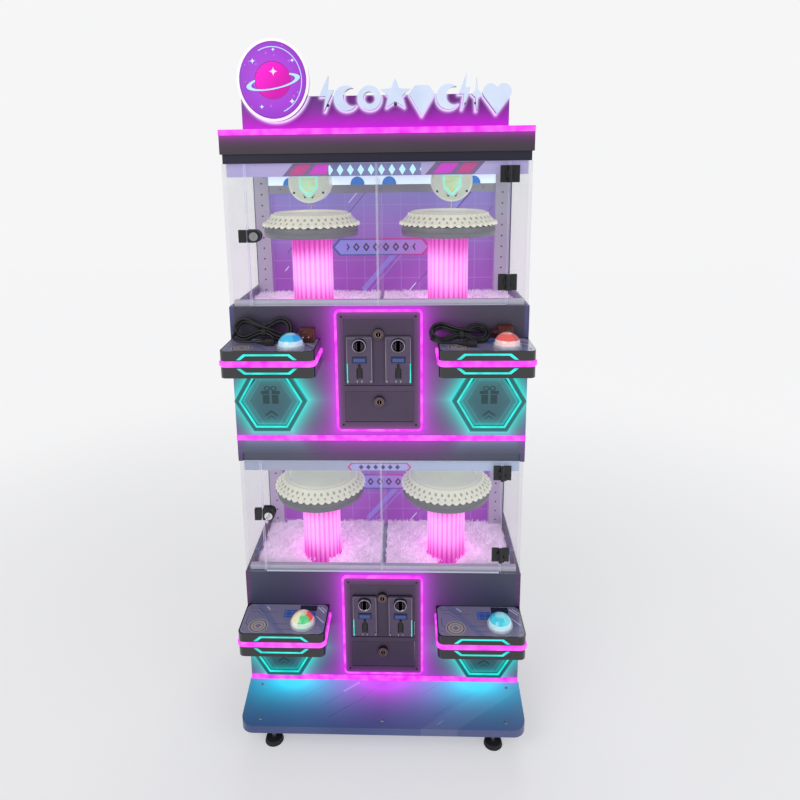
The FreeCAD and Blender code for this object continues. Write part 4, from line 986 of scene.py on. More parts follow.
def console_shade():
    """Gloss black shell with the printed top, which glows faintly with its own colour as painted light."""
    shade = Shade("console_gloss", (0.012, 0.012, 0.016), 0.12, slot="console_black")
    u = shade.x - shade.x._do("SIGN") * CONSOLE_X
    v = shade.y - FRONT
    nz = shade.normal()[2]
    top = nz.above(0.8)
    ground = shade.mix(shade.noise(6.0, 3.0), (0.19, 0.18, 0.30), (0.28, 0.26, 0.42))
    ground = shade.mix(abs(u + v * 0.7 + 0.02).between(0.055, 0.075) * 0.5, ground, (0.12, 0.16, 0.36))
    blue = u.between(-0.005, 0.083) * v.between(-0.058, -0.026)
    ground = shade.mix(blue, ground, (0.05, 0.11, 0.42))
    across, along = (abs((w * 60.0)._do("FRACT") - 0.5).above(0.42) for w in (u, v))
    tile = across.larger(along)
    ground = shade.mix(tile * blue * 0.6, ground, (0.12, 0.28, 0.72))
    block = u.between(0.036, 0.084) * v.between(-0.030, -0.006)
    ground = shade.mix(block, ground, (0.02, 0.02, 0.05))
    circuit = [(-0.110, -0.020, 0.030, 0.0, 0.0008), (-0.080, -0.020, 0.016, -0.016, 0.0008),
               (-0.064, -0.036, 0.040, 0.0, 0.0008), (-0.100, -0.034, 0.018, 0.0, 0.0006),
               (-0.082, -0.034, 0.020, -0.020, 0.0006), (-0.030, -0.084, 0.040, 0.0, 0.0007),
               (-0.015, -0.105, 0.095, 0.0, 0.0007), (0.030, -0.105, 0.018, 0.018, 0.0007),
               (-0.105, -0.052, 0.0, -0.030, 0.0008), (-0.105, -0.082, 0.016, -0.016, 0.0008)]
    pale = [(0.088, -0.014, 0.020, -0.024, 0.0019), (0.096, -0.012, 0.016, -0.019, 0.0012),
            (0.086, -0.050, 0.024, -0.028, 0.0016), (-0.060, -0.012, 0.012, -0.014, 0.0018)]
    ground = shade.over(ground, *[
        (line_print(shade, u, v, circuit) * 0.85, (0.05, 0.05, 0.13)),
        (line_print(shade, u, v, pale) * 0.9, (0.66, 0.64, 0.80))])
    badge = shade.length(u + 0.068, (v + 0.092) * 1.0)
    ground = shade.over(ground, *[
        (badge.below(0.027), (0.46, 0.41, 0.38)),
        (abs(badge - 0.0225).below(0.0016).larger(abs(badge - 0.0140).below(0.0009)),
         (0.12, 0.10, 0.18))])
    arms = (abs(u + 0.068) + abs(v + 0.092)).below(0.0095)
    ground = shade.mix(arms, ground, (0.22, 0.20, 0.32))
    border = shade.round_box(u, v, (0.0, -CONSOLE_REACH / 2),
                             (CONSOLE_HALF - 0.0035, CONSOLE_REACH / 2 - 0.003),
                             0.016)
    printed = top * border.below(0.0)
    colour = shade.mix(printed, (0.012, 0.012, 0.016), ground)
    shade.set("Base Color", colour)
    smear = shade.noise(14.0, 4.0)
    shade.set("Roughness", printed * 0.14 + smear * 0.10 + 0.06)
    shade.set("Coat Weight", 0.5)
    shade.set("Coat Roughness", 0.08)
    shade.relief(shade.noise(45.0, 2.0), 0.00010)
    # painted light: the printed top glows faintly
    shade.glow(shade.mix(printed, (0.0, 0.0, 0.0), ground), 0.14)
    return shade


def bezel_shade():
    shade = Shade("bezel_plastic", (0.74, 0.78, 0.84), 0.12, slot="console_black")
    shade.paint((shade.noise(60.0, 2.0).ramp(0.4, 0.7), (0.60, 0.66, 0.78)))
    shade.set("Coat Weight", 0.6)
    shade.relief(shade.noise(300.0, 2.0), 0.00008)
    return shade


def dome_shade(place, colours):
    """Clear dome over coloured sectors, with a lit core."""
    low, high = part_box("dome_button_" + place)
    shade = Shade("dome_" + place, colours[0], 0.06, slot="button_" + place)
    cx, cy = (low.x + high.x) / 2, (low.y + high.y) / 2
    u, v = shade.x - cx, shade.y - cy
    angle = shade.math("ARCTAN2", v, u)
    radius = shade.length(u, v)
    colour = colours[0]
    swirl = shade.noise(55.0, 3.0)
    step = 2 * math.pi / len(colours)
    for k, over in enumerate(colours[1:], 1):
        start = -math.pi + step * k
        colour = shade.mix((angle + swirl * 0.5 - 0.25).between(start, start + step), colour, over)
    core = (radius * -1.0 + 0.013).ramp(-0.003, 0.004)
    pale = tuple(min(1.0, c * 0.5 + 0.45) for c in colours[0])
    colour = shade.mix(core * 0.55, colour, pale)
    rim = radius.above(0.0285)
    colour = shade.mix(rim * 0.6, colour, (0.85, 0.88, 0.92))
    shade.set("Base Color", colour)
    shade.set("Roughness", swirl * 0.08 + 0.03)
    shade.set("Coat Weight", 1.0)
    shade.set("Coat Roughness", 0.03)
    shade.glow(colour, 0.42)
    shade.relief(swirl, 0.00015)
    return shade


def outlet_shade():
    shade = Shade("outlet_frame_paint", (0.022, 0.075, 0.095), 0.34, slot="outlet_frame")
    shade.paint((shade.noise(7.0, 3.0).ramp(0.35, 0.7), (0.030, 0.110, 0.130)))
    fine_texture(shade, 0.34, 0.00005, 1200.0)
    light = 0.0
    for tier in TIERS:
        gap = shade.hexagon(mirrored_x(shade) - OUTLET_X, shade.z - OUTLET_Z[tier], 0.0823)
        outer = shade.hexagon(mirrored_x(shade) - OUTLET_X, shade.z - OUTLET_Z[tier], 0.098)
        light = light + (abs(gap).fade(0.0035) * 0.75 + abs(outer).fade(0.003) * 0.6)
    front = shade.y.below(FRONT - 0.0005)
    shade.glow(shade.scaled((0.0, 0.40, 0.36), light * front), 1.0)
    return shade


def flap_shade():
    shade = Shade("flap_print", (0.045, 0.13, 0.165), 0.28, slot="flap_plastic")
    u = mirrored_x(shade) - OUTLET_X
    v = shade.rise(OUTLET_Z, 0.6)
    gap = shade.hexagon(u, v, 0.078) * -1.0
    ground = shade.mix(v.ramp(-0.05, 0.06), (0.040, 0.105, 0.140), (0.060, 0.165, 0.200))
    ground = shade.mix((shade.noise(9.0, 2.0)).ramp(0.4, 0.75) * 0.4, ground, (0.03, 0.13, 0.16))
    cross = (abs(u) + abs(v) * 0.6)
    ground = shade.mix(abs(cross - 0.060).below(0.0008) * 0.6, ground, (0.12, 0.45, 0.47))
    dark = (0.010, 0.022, 0.030)
    box = shade.round_box(u, v, (0.0, 0.006), (0.021, 0.0135), 0.002)
    lid = shade.round_box(u, v, (0.0, 0.0235), (0.025, 0.0052), 0.0015)
    ribbon = abs(u).below(0.0032)
    bow_u = abs(u) - 0.0085
    bow_v = v - 0.0355
    bow = shade.length(bow_u, bow_v * 1.25)
    bow_mask = abs(bow - 0.0065).below(0.0019)
    gift = box.below(0.0).larger(lid.below(0.0))
    gift = gift * (ribbon * -1.0 + 1.0)
    split = abs(v - 0.0186).below(0.0009)
    gift = (gift * (split * -1.0 + 1.0)).larger(bow_mask)
    ground = shade.mix(gift, ground, dark)
    chevron = (abs(abs(u) * 0.75 + v + 0.0285)).below(0.0036) * abs(u).below(0.0165)
    chevron_two = (abs(abs(u) * 0.75 + v + 0.0415)).below(0.0022) * abs(u).below(0.0105)
    ground = shade.over(ground, *[
        (chevron.larger(chevron_two), dark), (gap.between(0.0035, 0.0048), (0.03, 0.30, 0.32))])
    shade.set("Base Color", ground)
    shade.set("Roughness", shade.noise(12.0, 3.0) * 0.16 + 0.2)
    shade.relief(shade.noise(600.0, 2.0), 0.00005)
    # painted light: the neon's glow inside the hexagon and a faint even teal glow over the front
    inside = gap.fade(0.009)
    front = shade.y.below(FRONT - 0.006)
    light = shade.scaled((0.0, 0.34, 0.31), inside * front)
    shade.glow(shade.total(light, shade.scaled((0.004, 0.028, 0.034), front)), 1.0)
    return shade


def header_board_shade():
    shade = Shade("header_board_paint", (0.30, 0.10, 0.42), 0.3, slot="header_paint")
    height = shade.z.ramp(CROWN_TOP, CROWN_TOP + 0.075)
    colour = shade.paint((height, (0.20, 0.13, 0.34)), (shade.noise(7.0, 3.0).ramp(0.4, 0.7) * 0.3,
                                                        (0.38, 0.06, 0.46)))
    fine_texture(shade, 0.3, 0.00005, 1200.0)
    # painted light: the board glows with its own colour
    shade.glow(colour, 0.3)
    return shade


def header_film():
    """Printed face of the header board, with the light of the raised shapes on it."""
    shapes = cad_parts["header_shapes"].data
    flat = [Vector((v.co.x, 0.0, v.co.z)) for v in shapes.vertices]
    tree = BVHTree.FromPolygons(flat, [tuple(p.vertices) for p in shapes.polygons
                                       if abs(p.normal.y) > 0.9 and p.center.y < SIGN_FACE + 0.001])
    low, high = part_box("header_board")
    step, inset = 0.0022, 0.0005
    columns = int((high.x - low.x) / step)
    rows = int((high.z - low.z) / step)
    y = low.y - 0.0004
    vertices, near = [], []
    for j in range(rows + 1):
        for i in range(columns + 1):
            point = Vector((low.x + inset + (high.x - low.x - 2 * inset) * i / columns, 0.0,
                            low.z + inset + (high.z - low.z - 2 * inset) * j / rows))
            near.append(tree.find_nearest(point)[3])
            vertices.append((point.x, y, point.z))
    faces = []
    for j in range(rows):
        for i in range(columns):
            a = j * (columns + 1) + i
            faces.append((a, a + 1, a + columns + 2, a + columns + 1))
    back = len(vertices)
    edge = (list(range(columns + 1)) + [(j + 1) * (columns + 1) - 1 for j in range(1, rows + 1)]
            + [rows * (columns + 1) + i for i in range(columns - 1, -1, -1)]
            + [j * (columns + 1) for j in range(rows - 1, 0, -1)])
    for index in edge:
        vertices.append((vertices[index][0], low.y - 0.0001, vertices[index][2]))
        near.append(0.05)
    for k in range(len(edge)):
        n = (k + 1) % len(edge)
        faces.append((edge[n], edge[k], back + k, back + n))
    faces.append(tuple(back + k for k in reversed(range(len(edge)))))
    shade = Shade("header_film_print", (0.36, 0.10, 0.52), 0.26, slot="header_paint")
    film = put_mesh("header_board_face", vertices, faces, shade, "cabinet", smooth=False)
    layer = film.data.attributes.new("halo", "FLOAT", "POINT")
    layer.data.foreach_set("value", [math.exp(-d / 0.0055) for d in near])
    attribute = shade.node("ShaderNodeAttribute")
    attribute.attribute_name = "halo"
    halo = Value(shade, attribute.outputs["Fac"])
    height = shade.z.ramp(CROWN_TOP, CROWN_TOP + 0.070)
    ground = shade.mix(height, (0.40, 0.015, 0.50), (0.16, 0.075, 0.32))
    ground = shade.mix(shade.noise(8.0, 3.0).ramp(0.42, 0.72) * 0.25, ground, (0.60, 0.10, 0.70))
    shade.set("Base Color", ground)
    fine_texture(shade, 0.28, 0.00004, 1300.0)
    low_light = (shade.z - CROWN_TOP).fade(0.022)
    shade.glow(shade.total(shade.scaled((0.80, 0.72, 0.98), halo.ramp(0.10, 1.0)),
                           shade.scaled((0.55, 0.0, 0.62), low_light * 0.85 + 0.12)), 1.0)


def header_shape_shade():
    """Lit faces and dark sides of the raised shapes, and the round sign."""
    shade = Shade("header_shape_face", (0.60, 0.68, 0.80), 0.25, slot="sign_white")
    face = shade.y.below(SIGN_FACE + 0.0006)
    side_colour = (0.10, 0.05, 0.16)
    u = shade.x - SIGN_X
    v = shade.z - SIGN_Z
    round_place = shade.length(u * (1 / 0.089), v * (1 / 0.098))
    on_sign = round_place.below(1.02) * shade.x.below(SIGN_X + 0.0895)
    pale = shade.mix(shade.noise(16.0, 3.0).ramp(0.35, 0.7), (0.66, 0.77, 0.88), (0.52, 0.64, 0.82))
    grad = (shade.z - CROWN_TOP).ramp(0.015, 0.075)
    pale = shade.mix(grad * 0.55, pale, (0.56, 0.62, 0.80))
    ground = shade.mix(round_place.ramp(0.4, 1.0), (0.34, 0.045, 0.56), (0.26, 0.035, 0.48))
    dots = shade.cells(52.0, (1, 0.0001, 1)).below(0.16)
    ground = shade.mix(dots * 0.35, ground, (0.50, 0.20, 0.72))
    turn_u = u * 0.985 + v * 0.17
    turn_v = v * 0.985 - u * 0.17
    disc = shade.length(u, v)
    disc_mask = disc.below(0.044)
    ball = shade.mix((u * -1.0 + v).ramp(-0.05, 0.06), (0.52, 0.0, 0.34), (0.78, 0.0, 0.50))
    ground = shade.over(ground, *[
        (disc_mask, ball), (abs(disc - 0.044).below(0.0012), (0.28, 0.02, 0.26))])
    ring = shade.length(turn_u * (1 / 0.066), (turn_v + 0.004) * (1 / 0.017))
    behind = (turn_v + 0.004).above(0.0) * disc_mask
    ring_mask = abs(ring - 0.93).below(0.095) * (behind * -1.0 + 1.0)
    ring_edge = abs(ring - 0.93).below(0.135) * (behind * -1.0 + 1.0)
    ground = shade.over(ground, *[
        (ring_edge, (0.16, 0.03, 0.30)), (ring_mask, (0.42, 0.62, 0.92))])
    spark = (abs(u - 0.002)._do("SQRT") + abs(v - 0.021)._do("SQRT")).below(0.112)
    ground = shade.mix(spark, ground, (0.96, 0.60, 0.84))
    small = 0.0
    for du, dv, size in ((-0.048, 0.046, 0.092), (0.050, 0.046, 0.080), (-0.030, -0.062, 0.085),
                         (0.046, -0.050, 0.095), (0.004, 0.072, 0.078)):
        small = (abs(u - du)._do("SQRT") + abs(v - dv)._do("SQRT")).below(size).larger(small)
    ground = shade.mix(small, ground, (0.52, 0.74, 0.96))
    trail = abs(round_place - 0.80).below(0.011) * (u + v * 0.4).above(-0.005)
    ground = shade.mix(trail, ground, (0.44, 0.58, 0.92))
    inner = abs(round_place - 0.905).below(0.012)
    ground = shade.over(ground, *[
        (inner, (0.20, 0.04, 0.36)), (round_place.above(0.935), (0.92, 0.74, 0.92))])
    front = shade.mix(on_sign, pale, ground)
    colour = shade.mix(face, side_colour, front)
    shade.set("Base Color", colour)
    shade.set("Roughness", shade.noise(12.0, 3.0) * 0.12 + 0.18)
    shade.set("Coat Weight", 0.3)
    strength = face * 0.36 + on_sign * face * 0.19 + 0.02
    shade.glow(colour, 1.0)
    shade.set("Emission Strength", strength)
    shade.relief(shade.noise(500.0, 2.0), 0.00005)
    return shade


def rear_shade():
    shade = Shade("rear_laminate", (0.125, 0.125, 0.150), 0.55, slot="rear_paint")
    # painted shade: the vent slots are near-black stripes with a dent in the bump, not openings
    slots = abs(shade.z.repeat(0.016)).below(0.0034)
    area = abs(shade.x).below(0.14) * shade.z.between(1.20, 1.42).larger(shade.z.between(0.30, 0.46))
    outside = shade.y.above(0.2695)
    door = shade.round_box(shade.x, shade.z, (0.0, 0.80), (0.27, 0.25), 0.01)
    shade.paint((shade.noise(3.0, 4.0).ramp(0.4, 0.7), (0.105, 0.105, 0.130)),
                (slots * area * outside, (0.006, 0.006, 0.008)),
                (abs(door).below(0.0012) * outside, (0.02, 0.02, 0.025)))
    grain = shade.noise(700.0, 2.0)
    groove = slots * area * outside
    shade.relief(grain * 0.2 - groove, 0.0006)
    shade.set("Roughness", shade.noise(8.0, 3.0) * 0.15 + 0.45)
    return shade


def head_skin():
    """Cream clip heads, lit from the light bar behind them."""
    shade = moulded("head_cream", (0.80, 0.86, 0.76), 0.26, "cream_plastic", 700.0, 0.00008, 0.9)
    shade.glow(shade.mix(shade.noise(20.0, 2.0), (0.62, 0.74, 0.66), (0.74, 0.80, 0.66)), 0.30)
    return shade


def wear_all():
    """Materials of the CAD nodes."""
    board = board_shade()
    wear("front_panels", board)
    wear("side_panels", side_shade())
    wear("kick_plate", kick_shade())
    wear("crown", crown_shade())
    wear("rear_panel", rear_shade())
    wear("base_frame", enamel("frame_powder_coat", (0.03, 0.03, 0.036), "frame_steel", 0.5))
    feet_rubber = moulded("foot_rubber_skin", (0.022, 0.022, 0.024), 0.75, "foot_rubber", 500.0, 0.0002)
    stud = metal("stud_zinc", (0.62, 0.62, 0.64), 0.35, slot="foot_rubber")
    wear_parts("levelling_feet", feet_rubber, (stud, lambda c, n: c.z > 0.0125))
    wear("decks", enamel("deck_paint_skin", (0.26, 0.30, 0.42), "deck_paint", 0.42))
    glass = glass_shade()
    wear("fixed_glazing", glass)
    for tier in TIERS:
        wear(tier + "_glass_door", glass)
    white = enamel("post_enamel", (0.66, 0.65, 0.78), "white_paint", 0.35, post_holes)
    rail = enamel("rail_enamel", (0.52, 0.53, 0.62), "white_paint", 0.34)
    bar = Shade("light_bar_cover", (0.78, 0.90, 1.0), 0.3, slot="white_paint")
    dots = abs(bar.x.repeat(0.047))
    level = bar.rise(SILL) - 0.3045
    half = bar.length((bar.x + 0.0235).repeat(0.094), level * 0.9)
    outer = bar.length(mirrored_x(bar) - 0.272, level * 0.9)
    disc = (half.below(0.021) * bar.x.between(-0.12, 0.09)).larger(outer.below(0.020))
    lit = bar.mix(level.ramp(0.0, 0.03), (0.74, 0.90, 1.0), (0.62, 0.72, 0.95))
    lit = bar.mix(disc, lit, (0.03, 0.16, 0.52))
    bar.set("Base Color", lit)
    bar.glow(lit, 0.72)
    bar.relief(dots, 0.0001)
    wear_parts("posts_and_rails", white,
               (rail, lambda c, n: abs(c.x) < 0.335 and any(
                   RAIL[t] - 0.001 < c.z < RAIL[t] + 0.0245 for t in TIERS)),
               (bar, lambda c, n: abs(c.x) < 0.335 and any(
                   RAIL[t] + 0.0245 <= c.z < RAIL[t] + 0.056 for t in TIERS)))
    wear("printed_panels", wall_shade())
    wear("gear_motors", metal("motor_zinc", (0.50, 0.50, 0.53), 0.38, slot="motor_steel"))
    wear("clip_heads", head_skin())
    for _, _, _, place in places():
        wear("clip_rod_" + place, metal("rod_steel_" + place, (0.72, 0.72, 0.74), 0.22, (1, 1, 0.1),
                                        slot="rod_steel"))
    fitting = moulded("fitting_black", (0.014, 0.014, 0.016), 0.36, "black_fittings", 600.0, 0.00012)
    wear("glass_brackets", fitting)
    chrome = metal("lock_chrome_skin", (0.78, 0.78, 0.80), 0.14, (1, 1, 1), "lock_chrome")
    barrel = metal("lock_barrel_dark", (0.13, 0.09, 0.09), 0.22, (1, 1, 1), "lock_chrome")
    for tier in TIERS:
        wear(tier + "_door_fittings", fitting)
        wear(tier + "_door_lock", chrome)
    frames = plate_shade("coin_plate_coat", (0.078, 0.052, 0.100), "coin_plate_paint")
    wear("coin_frames", frames)
    doors = plate_shade("coin_door_coat", (0.066, 0.043, 0.086), "coin_plate_paint")
    for tier in TIERS:
        lock_test = lock_face_test(tier)
        wear_parts(tier + "_coin_door", doors, (barrel, lock_test))
        wear_parts(tier + "_cash_door", doors, (barrel, lock_test))
        wear(tier + "_coin_acceptors", metal("acceptor_plate_" + tier, (0.135, 0.105, 0.165), 0.28,
                                             (1, 1, 0.06),
                                             "acceptor_metal", 0.00006))
    wear("cash_boxes", metal("galvanised", (0.55, 0.56, 0.58), 0.42, (1, 1, 1), "sheet_steel"))
    bezel = bezel_shade()
    wear_parts("consoles", console_shade(),
               (bezel, lambda c, n: any(0.0006 < c.z - CONSOLE_TOP[t] < 0.02 for t in TIERS)))
    chute = metal("chute_steel", (0.50, 0.54, 0.62), 0.36, (1, 1, 1), "outlet_frame")
    wear_parts("prize_outlets", outlet_shade(), (chute, lambda c, n: c.y > FRONT + 0.0005))
    wear("pink_light_strips", light_shade("pink_diffuser", PINK, PINK_CORE, 1.25, "pink_light"))
    wear("cyan_light_panels", light_shade("cyan_diffuser", CYAN, CYAN_CORE, 1.1, "cyan_light"))
    wear("header_board", header_board_shade())
    wear("header_shapes", header_shape_shade())
    wear_parts("control_unit", metal("unit_alloy", (0.60, 0.60, 0.63), 0.40, (1, 1, 0.1),
                                     "unit_aluminium"),
               (fitting, lambda c, n: c.y > cad_high.y - 0.030))
    for place, colours in (("upper_left", [(0.05, 0.50, 0.80), (0.02, 0.34, 0.74), (0.10, 0.62, 0.86)]),
                           ("upper_right", [(0.78, 0.12, 0.10), (0.62, 0.10, 0.14), (0.80, 0.62, 0.62)]),
                           ("lower_left", [(0.84, 0.78, 0.50), (0.10, 0.62, 0.22), (0.82, 0.10, 0.06),
                                          (0.84, 0.78, 0.50), (0.86, 0.42, 0.16)]),
                           ("lower_right", [(0.05, 0.60, 0.74), (0.20, 0.74, 0.84), (0.04, 0.45, 0.66)])):
        wear("dome_button_" + place, dome_shade(place, colours))
    flap = flap_shade()
    back = moulded("return_blue", (0.020, 0.026, 0.12), 0.34, "return_plastic", 600.0)
    for _, _, _, place in places():
        wear("prize_flap_" + place, flap)
        wear("coin_return_" + place, back)


def lock_face_test(tier):
    """Faces of the round lock on a small door."""
    levels = (CASH[tier][1].z - 0.027, DOOR[tier][1].z - 0.037)
    return lambda c, n: any(math.hypot(c.x, c.z - z) < 0.0155 for z in levels) and (
        c.y < FRONT - 0.0061 or c.y > FRONT + 0.004)


wear_all()
header_film()


# ------------------------------------------------------------------ soft mats
TUFTS = 5200                 # tries for each mat


def mat_pieces():
    """Long-pile mats on the decks: a lumpy bed with drawn-out tufts, and painted light on the pile."""
    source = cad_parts["fur_mats"].data
    fur = Shade("mat_pile", (0.88, 0.86, 0.90), 0.85, slot="white_fur")
    fur.set("Sheen Weight", 0.5)
    fur.set("Sheen Roughness", 0.4)
    strands = fur.noise(600.0, 3.0, (1.0, 1.0, 0.2))
    clump = fur.noise(60.0, 3.0)
    # painted light: magenta pools round the columns and an even glow over the pile, stronger on the clumps
    left, right = ((fur.length(fur.x - x, fur.y - TABLE_Y) - 0.056).fade(0.055)
                   for x in (-TABLE_X, TABLE_X))
    column_light_pool = left + right
    fur.paint((clump.ramp(0.35, 0.65) * 0.30, (0.74, 0.68, 0.82)),
              (strands.ramp(0.45, 0.7) * 0.25, (0.90, 0.88, 0.94)))
    fur.glow(fur.total(fur.scaled((0.62, 0.10, 0.55), column_light_pool * 0.55),
                       fur.scaled((0.60, 0.52, 0.64), clump * 0.45 + 0.05)), 1.0)
    fur.relief(strands, 0.0009)
    tree = BVHTree.FromPolygons([v.co.copy() for v in source.vertices],
                                [tuple(p.vertices) for p in source.polygons])
    draw = random.Random(11)
    for tier, side, sign, place in places():
        base = DECK[tier] + 0.0004
        top = base + 0.024

        def inside(x, y):
            hit = tree.ray_cast(Vector((x, y, top + 0.02)), Vector((0, 0, -1)), 0.05)
            return hit[0] is not None and x * sign > 0

        step = 0.0045
        xs = [0.003 * sign + sign * step * i for i in range(int(0.375 / step) + 1)]
        ys = [-0.1035 + step * j for j in range(int(0.292 / step) + 2)]
        index, vertices, faces = {}, [], []
        keep = {(i, j) for i, x in enumerate(xs) for j, y in enumerate(ys) if inside(x, y)}
        for i, j in sorted(keep):
            lift = 0.0150 + 0.0022 * math.sin(xs[i] * 61 + ys[j] * 37) + 0.0016 * math.sin(
                xs[i] * 151 - ys[j] * 97) + draw.uniform(-0.0014, 0.0014)
            edge = sum((i + a, j + b) in keep for a, b in ((1, 0), (-1, 0), (0, 1), (0, -1)))
            index[(i, j)] = len(vertices)
            vertices.append((xs[i], ys[j], base + (lift if edge == 4 else 0.006)))
        for i, j in sorted(keep):
            ring = [(i, j), (i + 1, j), (i + 1, j + 1), (i, j + 1)]
            if all(k in index for k in ring):
                face = tuple(index[k] for k in ring)
                faces.append(face if sign > 0 else face[::-1])
        count = len(vertices)
        sides_of = {}
        for face in faces:
            for k in range(4):
                sides_of.setdefault(frozenset((face[k], face[(k + 1) % 4])), []).append(
                    (face[k], face[(k + 1) % 4]))
        walls = [(p[0][1], p[0][0], p[0][0] + count, p[0][1] + count)
                 for p in sides_of.values() if len(p) == 1]
        form = Mass()
        form.vertices = [Vector(v) for v in vertices] + [Vector((v[0], v[1], base)) for v in vertices]
        form.faces = faces + [tuple(k + count for k in reversed(f)) for f in faces] + walls
        used = {k for f in form.faces for k in f}
        fresh = {old: new for new, old in enumerate(sorted(used))}
        form.vertices = [form.vertices[old] for old in sorted(used)]
        form.faces = [tuple(fresh[k] for k in f) for f in form.faces]
        for _ in range(TUFTS):
            i, j = draw.randrange(len(xs)), draw.randrange(len(ys))
            at_front = ys[j] < -0.085
            if (i, j) not in keep or (not at_front and draw.random() < 0.12):
                continue
            x = xs[i] + draw.uniform(-0.002, 0.002)
            y = ys[j] + draw.uniform(-0.002, 0.002)
            angle = draw.uniform(0, 2 * math.pi)
            reach = draw.uniform(0.002, 0.0075)
            tall = draw.uniform(0.0095, 0.0130)
            wide = draw.uniform(0.0009, 0.0017)
            dx, dy = math.cos(angle) * reach, math.sin(angle) * reach
            if not inside(x + dx, y + dy) or not inside(x, y):
                continue
            foot = base + 0.0115
            start = len(form.vertices)
            for share, width in ((0.0, 1.0), (0.55, 0.62)):
                bend = share * share
                for k in range(3):
                    b = angle + 2 * math.pi * k / 3
                    form.vertices.append(Vector((x + dx * bend + wide * width * math.cos(b),
                                                 y + dy * bend + wide * width * math.sin(b),
                                                 foot + tall * (share - 0.12 * share))))
            form.vertices.append(Vector((x + dx, y + dy, foot + tall * 0.95)))
            for k in range(3):
                n = (k + 1) % 3
                form.faces.append((start + k, start + n, start + 3 + n, start + 3 + k))
                form.faces.append((start + 3 + k, start + 3 + n, start + 6))
            form.faces.append((start + 2, start + 1, start))
        piece = form.make("fur_mat_" + place, fur, "cabinet")
    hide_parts("fur_mats")


mat_pieces()


# ------------------------------------------------------------------ turntables and columns
FLUTES = 24                  # round each lit column
DISC_HIGH = 0.038            # from a disc's top to its tray
TRAY_HIGH = 0.028


